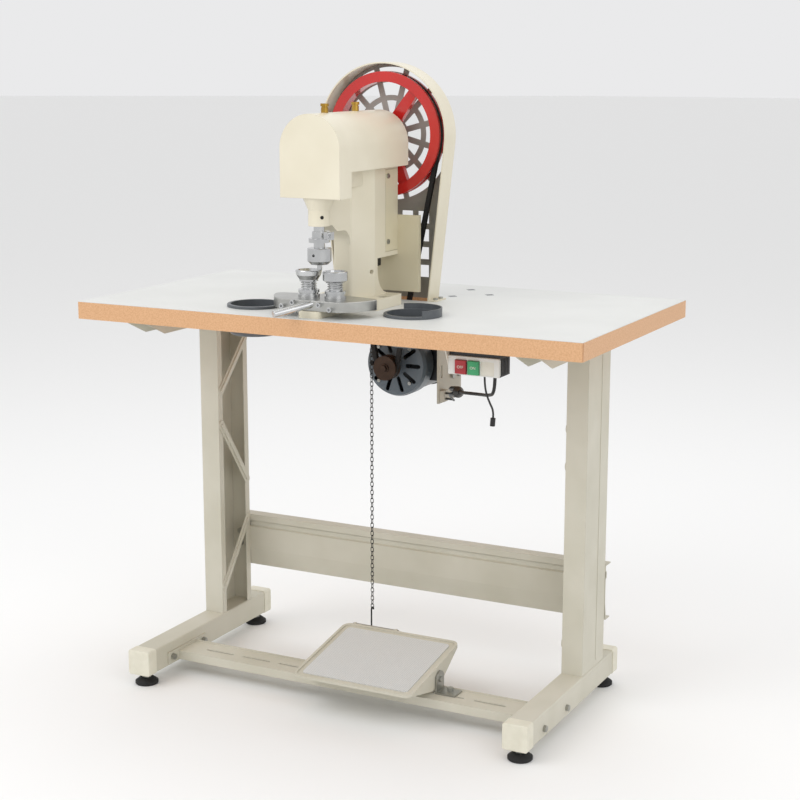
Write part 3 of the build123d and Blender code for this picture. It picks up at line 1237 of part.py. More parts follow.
# Screws of the press, its panels, the guard and the motor
with BuildPart() as press_screws:
    for bolt_x, bolt_y in base_bolt_spots:
        cap_screw((bolt_x, bolt_y, base_top - 7.0), (0, 0, -1), base_height - 7.0 + board_thickness + laminate_thickness,
                  base_bolt_radius, base_bolt_radius + 3.5, 5.0)
    for side in (-1, 1):
        for screw_z in panel_screw_zs:
            cap_screw((machine_x + side * column_half_width, panel_screw_y, screw_z), (-side, 0, 0), 12.0,
                      panel_screw_radius, panel_screw_radius + 2.0, 2.5)
    for screw_x, screw_y in guard_screw_spots:
        cap_screw((screw_x, screw_y, table_height + flange_sheet), (0, 0, -1), flange_sheet + 14.0,
                  panel_screw_radius, panel_screw_radius + 2.0, 3.0)
    for bolt_y, bolt_z in motor_bolt_spots:
        hex_bolt((plate_outer, bolt_y, bolt_z), (-1, 0, 0), plate_sheet + 12.0, motor_bolt_radius, nut=False)
press_screws.part.label = "press_screws"
export_step(press_screws.part, "parts/press_screws.step")

# Trip lever in the notch of the column, on a pin through its bracket
lever_pivot = (notch_front + 8.0, 829.0)
bracket_x = (machine_x - 10.0, machine_x + 32.0)
lever_half_sheet = 1.5
lever_pin_radius = 2.0
eye_radius = 1.6
with BuildPart() as trip_bracket:
    block(bracket_x, (notch_front, notch_front + 28.0), (lever_pivot[1] - 7.0, notch_top))
    block(around(machine_x, lever_half_sheet + 0.5), (notch_front + 0.6, notch_front + 28.0),
          (lever_pivot[1] - 7.0, notch_top), Mode.SUBTRACT)
    rod("X", lever_pivot, (bracket_x[0] + 2.0, bracket_x[1] - 4.0), lever_pin_radius)
trip_bracket.part.label = "trip_bracket"
export_step(trip_bracket.part, "parts/trip_bracket.step")

with BuildPart() as trip_lever:
    with BuildSketch(Plane.YZ.offset(machine_x)) as lever_outline:
        with Locations(lever_pivot):
            Circle(5.0)
        with Locations((chain_y, chain_eye_z)):
            Circle(3.0)
        make_hull()
        with Locations(lever_pivot):
            Circle(lever_pin_radius + running_fit, mode=Mode.SUBTRACT)
        with Locations((chain_y, chain_eye_z)):
            Circle(eye_radius, mode=Mode.SUBTRACT)
    extrude(amount=lever_half_sheet, both=True)
trip_lever.part.label = "trip_lever"
export_step(trip_lever.part, "parts/trip_lever.step")

# Switch box under the board, with its two buttons and a blank plate
box_x = (box_left, box_left + box_width)
bezel_depth = 4.0
bezel_top = 700.0
button_y = (box_front - button_stand, box_front + 8.0)
button_z = around((box_bottom + bezel_top) / 2 - 2.0, button_height / 2)
button_gap = 0.4
gland_drop = 4.0
box_lead_spot = (box_left + 71.0, front_edge + 88.0)
pigtail_spot = (box_left + 57.0, front_edge + 76.0)
button_spots = {"off": box_left + 24.5, "on": box_left + 48.2}
with BuildPart() as switch_box:
    block(box_x, (box_front + bezel_depth, box_front + box_depth), (box_bottom, board_bottom))
    block(box_x, (box_front, box_front + bezel_depth), (box_bottom, bezel_top))
    for button_x in button_spots.values():
        block(around(button_x, button_width / 2 + button_gap), (box_front, button_y[1] + button_travel + 2.0),
              (button_z[0] - button_gap, button_z[1] + button_gap), Mode.SUBTRACT)
    block((box_x[1] - 34.0, box_x[1] - 9.0), (box_front, box_front + 1.2), button_z, Mode.SUBTRACT)
    for rib in range(6):
        block((box_x[1] - 0.1, box_x[1] + 1.0), (box_front + 4.0 + rib * 6.0, box_front + 7.0 + rib * 6.0),
              (box_bottom + 3.0, bezel_top - 2.0))
    for spot in (box_lead_spot, pigtail_spot):
        rod("Z", spot, (box_bottom - gland_drop, box_bottom), 6.0)
switch_box.part.label = "switch_box"
export_step(switch_box.part, "parts/switch_box.step")

for name, button_x in button_spots.items():
    with BuildPart() as button:
        block(around(button_x, button_width / 2), button_y, button_z)
        fillet(button.faces().sort_by(Axis.Y)[0].edges(), radius=1.5)
    button.part.label = f"{name}_button"
    export_step(button.part, f"parts/{name}_button.step")

# Blank marker plate on the box and the sheet bracket at its left
with BuildPart() as switch_plates:
    block((box_x[1] - 34.0, box_x[1] - 9.0), (box_front + 0.4, box_front + 1.2), button_z)
    with BuildSketch(Plane.YZ.offset(box_x[0])) as cheek_view:
        with BuildLine():
            Polyline((box_front - 14.0, board_bottom), (box_front + 6.0, box_bottom + 4.0),
                     (box_front + box_depth, box_bottom + 4.0), (box_front + box_depth, board_bottom), close=True)
        make_face()
    extrude(cheek_view.sketch, amount=-1.5)
switch_plates.part.label = "switch_plates"
export_step(switch_plates.part, "parts/switch_plates.step")

# Parts bins that drop into the table
for name, spot in bin_spots.items():
    rest = table_height + 0.3
    with BuildPart() as parts_bin:
        rod("Z", spot, (rest - bin_depth, rest + 1.0), bin_radius)
        rod("Z", spot, (rest, rest + bin_rim_height), bin_rim_radius)
        fillet(parts_bin.edges().sort_by(Axis.Z)[-1], radius=1.5)
        if name == "right":
            with BuildSketch(Plane.XY.offset(rest)) as lip:
                with Locations(spot):
                    Circle(bin_rim_radius)
                    Circle(bin_rim_radius - 2.5, mode=Mode.SUBTRACT)
                    Rectangle(4 * bin_rim_radius, 2 * bin_rim_radius, rotation=-45,
                              align=(Align.CENTER, Align.MIN), mode=Mode.INTERSECT)
            extrude(lip.sketch, amount=bin_lip_height)
        rod("Z", spot, (rest - bin_depth + bin_wall, rest + bin_rim_height + bin_lip_height), bin_radius - bin_wall,
            Mode.SUBTRACT)
        fillet(parts_bin.edges().filter_by(GeomType.CIRCLE).sort_by(Axis.Z)[0], radius=6.0)
    parts_bin.part.label = f"{name}_bin"
    export_step(parts_bin.part, f"parts/{name}_bin.step")


def cord(name, route, radius):
    """A tube along straight runs joined by tangent arcs, in the open part."""
    points = [Vector(*point) for point in route]
    radii = []
    for before, corner, after in zip(points, points[1:], points[2:]):
        turn = radians((corner - before).get_angle(after - corner))
        shorter = min((corner - before).length, (after - corner).length)
        radii.append(0.45 * shorter / tan(turn / 2))
    with BuildLine() as path:
        FilletPolyline(*points, radius=radii)
    with BuildSketch(Plane(origin=points[0], z_dir=points[1] - points[0])) as section:
        Circle(radius)
    tube = sweep(sections=section.sketch, path=path.wire())
    fill = tube.volume / (pi * radius ** 2 * path.wire().length)
    print(name, "length", round(path.wire().length, 1), "radii", [round(value) for value in radii], "fill", round(fill, 4))


def place(x, y, z):
    """A point given from the table's left end, its front edge and the floor."""
    return Vector(left_end + x, front_edge + y, z)


# Leads from the motor to two plugs, one cable on to the switch box, and a loose pigtail
lead_radius = 2.0
cable_radius = 3.0
pigtail_radius = 1.75
plug_way = Vector(0.6, -0.78, 0.17).normalized()
lead_spread = 5.5
plug_start = place(668, 236, 596)
connector_length = 26.0
plug_length = 30.0
boot_length = 18.0
for name, offset in (("motor_lead_1", -lead_spread), ("motor_lead_2", lead_spread)):
    lift = Vector(0, 0, offset)
    nudge = 3.0 if offset > 0 else 0.0
    gland_face = Vector(gland_x[1], bracket_span[0] + 11.0, plate_bottom + 15.0) + lift
    with BuildPart() as motor_lead:
        cord(name, (gland_face, gland_face + Vector(16, 0, 0), place(625 + nudge, 338, 561) + lift,
                    place(636 + nudge, 306, 572 + nudge) + lift, place(644, 277 + nudge, 584) + lift,
                    plug_start - plug_way * 22 + lift, plug_start + lift), lead_radius)
    motor_lead.part.label = name
    export_step(motor_lead.part, f"parts/{name}.step")

boot_end = plug_start + plug_way * (connector_length + plug_length + boot_length)
pigtail_plug = (place(819, 84, 590), place(818, 84, 576))
with BuildPart() as lead_plugs:
    for offset in (-lead_spread, lead_spread):
        for start, length, radius in ((0.0, connector_length, 4.4), (connector_length, plug_length, 5.0)):
            with BuildSketch(Plane(origin=plug_start + plug_way * start + Vector(0, 0, offset), z_dir=plug_way)) as plug:
                Circle(radius)
            extrude(plug.sketch, amount=length)
    with BuildSketch(Plane(origin=boot_end - plug_way * boot_length, z_dir=plug_way)) as boot_foot:
        Circle(lead_spread + 5.0)
    with BuildSketch(Plane(origin=boot_end, z_dir=plug_way)) as boot_tip:
        Circle(cable_radius + 1.5)
    loft([boot_foot.sketch, boot_tip.sketch])
    with BuildSketch(Plane(origin=pigtail_plug[0], z_dir=pigtail_plug[1] - pigtail_plug[0])) as pigtail_face:
        Circle(4.5)
    extrude(pigtail_face.sketch, amount=(pigtail_plug[1] - pigtail_plug[0]).length)
lead_plugs.part.label = "lead_plugs"
export_step(lead_plugs.part, "parts/lead_plugs.step")

box_exit = Vector(*box_lead_spot, box_bottom - gland_drop)
with BuildPart() as box_lead:
    cord("box_lead", (boot_end, boot_end + plug_way * 24, place(762, 149, 615), place(793, 119, 621),
                      box_exit - Vector(0, 0, 32), box_exit), cable_radius)
box_lead.part.label = "box_lead"
export_step(box_lead.part, "parts/box_lead.step")

pigtail_exit = Vector(*pigtail_spot, box_bottom - gland_drop)
with BuildPart() as pigtail:
    cord("pigtail", (pigtail_exit, pigtail_exit - Vector(0, 0, 12), place(808, 78, 634), place(813, 82, 617),
                     pigtail_plug[0] + (pigtail_plug[0] - pigtail_plug[1]) * 0.9, pigtail_plug[0]), pigtail_radius)
pigtail.part.label = "pigtail"
export_step(pigtail.part, "parts/pigtail.step")
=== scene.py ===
import json
from math import cos, pi, radians, sin

import bpy
from bpy.props import FloatProperty, IntProperty, PointerProperty, StringProperty
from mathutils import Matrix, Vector


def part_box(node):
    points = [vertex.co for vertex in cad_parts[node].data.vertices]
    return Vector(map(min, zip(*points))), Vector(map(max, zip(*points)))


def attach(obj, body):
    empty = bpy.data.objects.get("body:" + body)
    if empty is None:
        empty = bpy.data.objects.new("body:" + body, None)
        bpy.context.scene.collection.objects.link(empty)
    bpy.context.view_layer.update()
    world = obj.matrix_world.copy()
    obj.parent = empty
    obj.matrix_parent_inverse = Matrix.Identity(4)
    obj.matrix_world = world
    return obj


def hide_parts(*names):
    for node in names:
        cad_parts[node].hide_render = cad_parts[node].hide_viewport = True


bl_info = {
    "name": "Button press looks",
    "version": (1, 0, 0),
    "blender": (4, 5, 0),
    "location": "View3D > Sidebar > Button press",
    "description": "Camera, cords, small parts, finishes and studio for the button press",
    "category": "Object",
}

STAND = "stand"

# Places from the part's source, in metres: the press's middle plane, the ram's axis and the boss round it
MACHINE_X = -0.0165
RAM_Y = -0.1885
BOSS_RADIUS = 0.0195
BOSS_SCREW_Z = 0.925

# The switch box's light bezel: what lies in front of this plane and below this height
BEZEL_BACK_Y = -0.1953
BEZEL_TOP_Z = 0.7004

# Small parts, in metres. OUT is how far a piece's middle lies in front of the face that it sits on
BELL_SCREW_CIRCLE = 0.0475
BELL_SCREW_RADIUS = 0.0036
BELL_SCREW_HEIGHT = 0.0024
BELL_SCREW_OUT = 0.0006
BOSS_SCREW_RADIUS = 0.0032
BOSS_SCREW_HEIGHT = 0.0016
WASHER_RADIUS = 0.015
WASHER_THICKNESS = 0.0015
WASHER_OUT = 0.0006
WASHER_EDGE = 0.0003
NUT_CORNER_RADIUS = 0.0115
NUT_HEIGHT = 0.004
NUT_OUT = 0.0032
NUT_EDGE = 0.0006
LETTER_HALF_DEPTH = 0.00025
LETTER_OUT = 0.0001

# The photograph's frame and camera, and the studio. A lamp has a name, a place, a side and a power setting
PHOTO_SIDE = 800
SENSOR_WIDTH = 36.0
FAR_CLIP = 50.0
CAMERA_SPOT = (1.4525, -2.7395, 1.204)
FLOOR_SIDE = 90
LAMP_AIM = (0, 0, 0.6)
LAMPS = (
    ("key", (-1.6, -2.6, 3.0), 2.4, "key_power"),
    ("fill", (3.0, -1.6, 2.2), 2.6, "fill_power"),
    ("top", (0.0, 1.2, 3.4), 2.6, "fill_power"),
)

# Blender's wave texture repeats every 0.314 / Scale metres, which is 2 pi / 20
WAVE_STEP = 0.314

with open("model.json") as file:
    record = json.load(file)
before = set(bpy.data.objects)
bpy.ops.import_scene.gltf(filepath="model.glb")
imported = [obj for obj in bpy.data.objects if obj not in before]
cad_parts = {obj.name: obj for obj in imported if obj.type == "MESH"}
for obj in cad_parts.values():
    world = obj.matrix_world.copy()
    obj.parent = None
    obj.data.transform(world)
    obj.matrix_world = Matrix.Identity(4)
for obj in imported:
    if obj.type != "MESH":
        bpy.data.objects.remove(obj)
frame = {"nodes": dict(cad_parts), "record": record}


# Small helpers

def linear(colour):
    """A hex colour as the linear values that Blender's sockets take."""
    parts = [int(colour[i:i + 2], 16) / 255 for i in (1, 3, 5)]
    return tuple(p / 12.92 if p <= 0.04045 else ((p + 0.055) / 1.055) ** 2.4 for p in parts) + (1.0,)


def deselect():
    """Nothing is selected before the next piece is made."""
    bpy.ops.object.select_all(action="DESELECT")


def settle(piece, name, body, slot):
    """Names a new piece, brings its origin to the frame's, gives it a finish and lets it ride on a body."""
    piece.name = name
    deselect()
    piece.select_set(True)
    bpy.context.view_layer.objects.active = piece
    bpy.ops.object.transform_apply(location=True, rotation=True, scale=True)
    piece.data.materials.clear()
    piece.data.materials.append(bpy.data.materials[slot])
    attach(piece, body)
    return piece


def soften(piece, width):
    """A small bevel on a piece's edges, applied."""
    bevel = piece.modifiers.new("edge", "BEVEL")
    bevel.width = width
    bevel.segments = 2
    deselect()
    piece.select_set(True)
    bpy.context.view_layer.objects.active = piece
    bpy.ops.object.modifier_apply(modifier=bevel.name)


def joined(pieces):
    """Several pieces as one mesh."""
    deselect()
    for piece in pieces:
        piece.select_set(True)
    bpy.context.view_layer.objects.active = pieces[0]
    bpy.ops.object.join()
    return bpy.context.active_object


def screw_head(at, radius, height, turn):
    """A pan head on a face, its axis turned to the face's normal, with a driver's slot cut across it."""
    edge = height * 0.35
    slot_size = (radius * 3, radius * 0.28, height * 0.9)
    slot_middle = height * 0.55
    deselect()
    bpy.ops.mesh.primitive_cylinder_add(vertices=24, radius=radius, depth=height, location=at, rotation=turn)
    head = bpy.context.active_object
    soften(head, edge)
    bpy.ops.mesh.primitive_cube_add(size=1, location=at, rotation=turn)
    blade = bpy.context.active_object
    blade.scale = slot_size
    blade.location = Vector(at) + blade.rotation_euler.to_matrix() @ Vector((0, 0, slot_middle))
    cut = head.modifiers.new("slot", "BOOLEAN")
    cut.object = blade
    cut.solver = "EXACT"
    deselect()
    head.select_set(True)
    bpy.context.view_layer.objects.active = head
    bpy.ops.object.modifier_apply(modifier=cut.name)
    bpy.data.objects.remove(blade)
    return head


# Node helpers for the finishes

def node(tree, kind, links=None, **values):
    """Adds one shader node, sets its properties and plain inputs, and links the sockets named in links."""
    new = tree.nodes.new(kind)
    for key, value in values.items():
        if hasattr(new, key):
            setattr(new, key, value)
        else:
            new.inputs[key.replace("_", " ")].default_value = value
    for key, source in (links or {}).items():
        tree.links.new(source, new.inputs[key])
    return new


def new_material(name):
    """An empty material of the slot's name, with its shader, its output and its coordinates in metres."""
    material = bpy.data.materials.get(name) or bpy.data.materials.new(name)
    material.use_nodes = True
    tree = material.node_tree
    tree.nodes.clear()
    shader = node(tree, "ShaderNodeBsdfPrincipled")
    node(tree, "ShaderNodeOutputMaterial", {"Surface": shader.outputs["BSDF"]})
    place = node(tree, "ShaderNodeTexCoord")
    return tree, shader, place.outputs["Object"]


def ramp_between(tree, value, darker, colour, low, high):
    """A value as a colour: the darker one up to low, the other from high, and a blend between."""
    ramp = node(tree, "ShaderNodeValToRGB", {"Fac": value})
    ramp.color_ramp.elements[0].position = low
    ramp.color_ramp.elements[1].position = high
    ramp.color_ramp.elements[0].color = linear(darker)
    ramp.color_ramp.elements[1].color = linear(colour)
    return ramp.outputs["Color"]


def speckle(tree, place, size, colour, darker):
    """A colour that drifts to a darker one over patches of a real size."""
    cloud = node(tree, "ShaderNodeTexNoise", {"Vector": place}, Scale=1.0 / size, Detail=3.0)
    return ramp_between(tree, cloud.outputs["Fac"], darker, colour, low=0.35, high=0.65)


def relief(tree, height, depth, edge=0.0):
    """A bump of a real depth, on normals rounded at the edges where an edge's width is given."""
    links = {"Height": height}
    if edge > 0:
        links["Normal"] = node(tree, "ShaderNodeBevel", samples=4, Radius=edge).outputs["Normal"]
    return node(tree, "ShaderNodeBump", links, Strength=1.0, Distance=depth).outputs["Normal"]


def enamel(name, colour, darker, rough=0.34, peel=0.0012, depth=0.00002, coat=0.25):
    """Sprayed enamel or powder coat: an even colour, soft patches of handling and a fine orange peel."""
    tree, shader, place = new_material(name)
    tree.links.new(speckle(tree, place, 0.14, colour, darker), shader.inputs["Base Color"])
    skin = node(tree, "ShaderNodeTexNoise", {"Vector": place}, Scale=1.0 / peel, Detail=1.0)
    tree.links.new(relief(tree, skin.outputs["Fac"], depth, 0.0009), shader.inputs["Normal"])
    shader.inputs["Roughness"].default_value = rough
    shader.inputs["Coat Weight"].default_value = coat
    shader.inputs["Coat Roughness"].default_value = rough * 0.6


def steel(name, colour, darker, rough=0.3, grain=(900.0, 900.0, 60.0), depth=0.000008, metallic=1.0):
    """Metal: a grain in its roughness and relief, stretched along one axis where it is turned or ground."""
    tree, shader, place = new_material(name)
    tree.links.new(speckle(tree, place, 0.03, colour, darker), shader.inputs["Base Color"])
    stretch = node(tree, "ShaderNodeMapping", {"Vector": place})
    stretch.inputs["Scale"].default_value = grain
    lines = node(tree, "ShaderNodeTexNoise", {"Vector": stretch.outputs["Vector"]}, Scale=1.0, Detail=2.0)
    spread = node(tree, "ShaderNodeMapRange", {"Value": lines.outputs["Fac"]})
    spread.inputs["To Min"].default_value = rough * 0.75
    spread.inputs["To Max"].default_value = rough * 1.35
    tree.links.new(spread.outputs["Result"], shader.inputs["Roughness"])
    tree.links.new(relief(tree, lines.outputs["Fac"], depth, 0.0004), shader.inputs["Normal"])
    shader.inputs["Metallic"].default_value = metallic


def moulded(name, colour, darker, rough=0.5, grain=0.0007, depth=0.00003):
    """Moulded plastic or rubber: one colour with a fine spark-eroded grain."""
    tree, shader, place = new_material(name)
    tree.links.new(speckle(tree, place, 0.02, colour, darker), shader.inputs["Base Color"])
    skin = node(tree, "ShaderNodeTexNoise", {"Vector": place}, Scale=1.0 / grain, Detail=2.0)
    tree.links.new(relief(tree, skin.outputs["Fac"], depth, 0.0005), shader.inputs["Normal"])
    shader.inputs["Roughness"].default_value = rough


def two_tone(name, colour, front_colour):
    """Moulded plastic with a light bezel in front of one plane and below one height."""
    moulded(name, colour, colour, rough=0.46)
    tree = bpy.data.materials[name].node_tree
    shader = tree.nodes["Principled BSDF"]
    place = node(tree, "ShaderNodeTexCoord").outputs["Object"]
    parts = node(tree, "ShaderNodeSeparateXYZ", {"Vector": place}).outputs
    in_front = node(tree, "ShaderNodeMath", {0: parts["Y"]}, operation="LESS_THAN")
    in_front.inputs[1].default_value = BEZEL_BACK_Y
    below = node(tree, "ShaderNodeMath", {0: parts["Z"]}, operation="LESS_THAN")
    below.inputs[1].default_value = BEZEL_TOP_Z
    both = node(tree, "ShaderNodeMath", {0: in_front.outputs[0], 1: below.outputs[0]}, operation="MULTIPLY")
    mix = node(tree, "ShaderNodeMix", {0: both.outputs[0]}, data_type="RGBA")
    first_colour, second_colour, mixed_colour = mix.inputs[6], mix.inputs[7], mix.outputs[2]
    first_colour.default_value = linear(colour)
    second_colour.default_value = linear(front_colour)
    tree.links.new(mixed_colour, shader.inputs["Base Color"])


def ribbed(name, colour, groove_shade, pitch=0.003, depth=0.0004, rough=0.62):
    """A rubber mat with fine straight ribs that run from the pedal's front to its back, with painted shade
    in the grooves between the ribs.
    """
    tree, shader, place = new_material(name)
    bands = node(tree, "ShaderNodeTexWave", {"Vector": place}, bands_direction="X", Scale=WAVE_STEP / pitch)
    # Painted shade: the grooves between the ribs get the darker colour, and the rib tops get the mat's own
    # colour
    shade = ramp_between(tree, bands.outputs["Fac"], groove_shade, colour, low=0.0, high=0.4)
    tree.links.new(shade, shader.inputs["Base Color"])
    tree.links.new(relief(tree, bands.outputs["Fac"], depth), shader.inputs["Normal"])
    shader.inputs["Roughness"].default_value = rough


def edge_band(name, colour, darker, depth=0.00003, rough=0.42):
    """A printed board-coloured edge band with fine fibre flecks."""
    tree, shader, place = new_material(name)
    stretch = node(tree, "ShaderNodeMapping", {"Vector": place})
    stretch.inputs["Scale"].default_value = (340.0, 340.0, 420.0)
    fibre = node(tree, "ShaderNodeTexNoise", {"Vector": stretch.outputs["Vector"]}, Scale=1.0, Detail=5.0)
    shade = ramp_between(tree, fibre.outputs["Fac"], darker, colour, low=0.3, high=0.62)
    tree.links.new(shade, shader.inputs["Base Color"])
    tree.links.new(relief(tree, fibre.outputs["Fac"], depth), shader.inputs["Normal"])
    shader.inputs["Roughness"].default_value = rough


# Two parts differ in the photograph from the others of their slot: a brighter collar and a darker chain
LOOKS_LIKE = {"ram_collar": "bright_steel", "pull_chain": "dark_steel"}


def make_finishes():
    """Every slot of the record gets the finish that the real surface has."""
    # Sprayed enamel on iron and sheet: satin, with a faint orange peel
    enamel("cream_paint", "#E6DFCA", "#DED6BF")
    enamel("panel_paint", "#DDD5BB", "#D4CBAE")
    enamel("grille_paint", "#A3A199", "#98968E", rough=0.45)
    # Powder coat on the stand: duller and coarser than the enamel
    enamel("stand_paint", "#CFCBBC", "#C5C1B0", rough=0.5, peel=0.0018, depth=0.00004, coat=0.0)
    # Melamine laminate: flat, pale and almost smooth
    enamel("laminate", "#DCDDDA", "#D7D8D5", rough=0.4, peel=0.0006, depth=0.00001, coat=0.0)
    # Gloss enamel on the flywheel, and the motor's duller coats
    enamel("red_paint", "#C9221D", "#B81C18", rough=0.26, coat=0.5)
    enamel("bell_paint", "#5A656E", "#4E5860", rough=0.42, peel=0.0022, depth=0.00006)
    enamel("motor_paint", "#1F2023", "#18191B", rough=0.4)
    enamel("bracket_paint", "#B8B4A6", "#AEA998", rough=0.48)
    # A thin band glued round the board's edge, the colour of chipboard
    edge_band("board", "#DCAE83", "#CB9A6D")
    # Plastics and rubbers: even in colour, dull where they are rubber
    moulded("dark_plastic", "#5C6064", "#53575B", rough=0.4)
    moulded("cap_plastic", "#E2DECD", "#DAD6C4")
    moulded("foot_rubber", "#1C1C1C", "#151515", rough=0.7)
    moulded("belt_rubber", "#171717", "#101010", rough=0.72)
    two_tone("box_plastic", "#2B2C2E", "#D9DAD6")
    moulded("plate_white", "#DBD9CE", "#D3D1C5", rough=0.35)
    moulded("off_red", "#A92F35", "#9C282E", rough=0.28, depth=0.00001)
    moulded("on_green", "#3E9F6A", "#36925F", rough=0.28, depth=0.00001)
    moulded("lead_sheath", "#1D1D1D", "#171717", rough=0.45)
    # The mat's second colour is painted shade in the grooves between its ribs
    ribbed("mat", "#DCDDDB", "#B9BAB7")
    # Metals: zinc and dark steel have an even grain, the others one that turning or grinding left
    steel("zinc", "#B4B4AE", "#A3A39D", rough=0.38, grain=(300.0, 300.0, 300.0))
    steel("bright_steel", "#CDCECE", "#C2C3C4", rough=0.2)
    steel("satin_steel", "#BEBEBA", "#AFAFAB", rough=0.3, grain=(60.0, 1100.0, 1100.0))
    steel("dark_steel", "#3E3D3B", "#353432", rough=0.42, grain=(500.0, 500.0, 500.0), metallic=0.85)
    steel("brass", "#C09A4A", "#B08A3C", rough=0.26)
    steel("pulley_iron", "#4C3C32", "#40322A", rough=0.46, grain=(400.0, 60.0, 400.0), metallic=0.8)
    slot_of = {part["node"]: part["material_slot"] for part in frame["record"]["subparts"]}
    for name, piece in frame["nodes"].items():
        piece.data.materials.clear()
        piece.data.materials.append(bpy.data.materials[LOOKS_LIKE.get(name, slot_of[name])])


# Cords, as smooth lines on the routes of the solids, in metres
CORDS = {
    "motor_lead_1": {
        "route": ((0.0895, 0.1115, 0.5525), (0.1055, 0.1115, 0.5525), (0.1185, 0.0885, 0.5555),
                  (0.1295, 0.0565, 0.5665), (0.1375, 0.0275, 0.5785), (0.1483, 0.0037, 0.5868),
                  (0.1615, -0.0135, 0.5905)),
        "length": 0.1583, "diameter": 0.004, "stiffness": "limp"},
    "motor_lead_2": {
        "route": ((0.0895, 0.1115, 0.5635), (0.1055, 0.1115, 0.5635), (0.1215, 0.0885, 0.5665),
                  (0.1325, 0.0565, 0.5805), (0.1375, 0.0305, 0.5895), (0.1483, 0.0037, 0.5978),
                  (0.1615, -0.0135, 0.6015)),
        "length": 0.1591, "diameter": 0.004, "stiffness": "limp"},
    "box_lead": {
        "route": ((0.3135, -0.1615, 0.664), (0.3135, -0.1615, 0.632), (0.2865, -0.1305, 0.621),
                  (0.2555, -0.1005, 0.615), (0.2204, -0.0900, 0.6127), (0.2060, -0.0713, 0.6086)),
        "length": 0.1732, "diameter": 0.006, "stiffness": "medium"},
    "pigtail": {
        "route": ((0.2995, -0.1735, 0.664), (0.2995, -0.1735, 0.652), (0.3015, -0.1715, 0.634),
                  (0.3065, -0.1675, 0.617), (0.3134, -0.1655, 0.6026), (0.3125, -0.1655, 0.590)),
        "length": 0.0767, "diameter": 0.0035, "stiffness": "limp"},
}


class PressSettings(bpy.types.PropertyGroup):
    """What the operators read: camera, light, and the size and number of small parts."""
    lens: FloatProperty(
        name="Lens", description="Focal length in millimetres",
        default=74.97, min=20, max=200, unit="CAMERA")
    camera_turn: FloatProperty(
        name="Camera turn", description="Degrees to the left of straight ahead", default=27.16)
    camera_dip: FloatProperty(
        name="Camera dip", description="Degrees below level", default=11.70)
    key_power: FloatProperty(
        name="Key light", description="Power of the front left lamp", default=40.0, min=0, unit="POWER")
    fill_power: FloatProperty(
        name="Fill light", description="Power of the right and the rear lamp",
        default=20.0, min=0, unit="POWER")
    sky: FloatProperty(
        name="Sky", description="Strength of the even light from all round", default=0.86, min=0)
    letter_height: FloatProperty(
        name="Button letters", description="Size of the words' type",
        default=0.0068, min=0.001, unit="LENGTH")
    bell_screws: IntProperty(
        name="Bell screws", description="Screws round the motor bell", default=4, min=2)
    off_word: StringProperty(
        name="Stop word", description="Word on the stop button", default="OFF")
    on_word: StringProperty(
        name="Start word", description="Word on the start button", default="ON")


class PRESS_OT_camera(bpy.types.Operator):
    """The photograph's camera, in front of the table and to its right, just above the height of the press"""
    bl_idname = "press.camera"
    bl_label = "Camera"

    def execute(self, context):
        settings = context.scene.press_settings
        data = bpy.data.cameras.new("photo_camera")
        data.lens = settings.lens
        data.sensor_width = SENSOR_WIDTH
        data.clip_end = FAR_CLIP
        camera = bpy.data.objects.new("photo_camera", data)
        context.scene.collection.objects.link(camera)
        camera.location = CAMERA_SPOT
        camera.rotation_euler = (radians(90 - settings.camera_dip), 0, radians(settings.camera_turn))
        context.scene.camera = camera
        context.scene.render.resolution_x = PHOTO_SIDE
        context.scene.render.resolution_y = PHOTO_SIDE
        context.scene.view_settings.view_transform = "Standard"
        return {"FINISHED"}


class PRESS_OT_finishes(bpy.types.Operator):
    """Finishes of all the record's slots, put on the parts"""
    bl_idname = "press.finishes"
    bl_label = "Finishes"

    def execute(self, context):
        make_finishes()
        return {"FINISHED"}


class PRESS_OT_cords(bpy.types.Operator):
    """The motor's two leads, the cable to the switch box and its short pigtail"""
    bl_idname = "press.cords"
    bl_label = "Cords"

    def execute(self, context):
        for name, facts in CORDS.items():
            curve = bpy.data.curves.new(f"{name}_line", "CURVE")
            curve.dimensions = "3D"
            curve.bevel_depth = facts["diameter"] / 2
            curve.bevel_resolution = 5
            curve.resolution_u = 16
            curve.use_fill_caps = True
            line = curve.splines.new("NURBS")
            line.points.add(len(facts["route"]) - 1)
            for point, where in zip(line.points, facts["route"]):
                point.co = (*where, 1.0)
            line.order_u = 3
            line.use_endpoint_u = True
            piece = bpy.data.objects.new(f"{name}_line", curve)
            context.scene.collection.objects.link(piece)
            piece.data.materials.append(bpy.data.materials["lead_sheath"])
            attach(piece, STAND)
            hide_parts(name)
        return {"FINISHED"}


class PRESS_OT_words(bpy.types.Operator):
    """Raised ON and OFF on the two switch buttons"""
    bl_idname = "press.words"
    bl_label = "Button words"

    def execute(self, context):
        settings = context.scene.press_settings
        for name, word in (("off_button", settings.off_word), ("on_button", settings.on_word)):
            low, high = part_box(name)
            deselect()
            bpy.ops.object.text_add(rotation=(pi / 2, 0, 0))
            text = bpy.context.active_object
            text.data.body = word
            text.data.size = settings.letter_height
            text.data.align_x = "CENTER"
            text.data.align_y = "CENTER"
            text.data.extrude = LETTER_HALF_DEPTH
            text.location = ((low.x + high.x) / 2, low.y - LETTER_OUT, (low.z + high.z) / 2)
            bpy.ops.object.convert(target="MESH")
            settle(bpy.context.active_object, f"{name}_word", name, "plate_white")
        return {"FINISHED"}


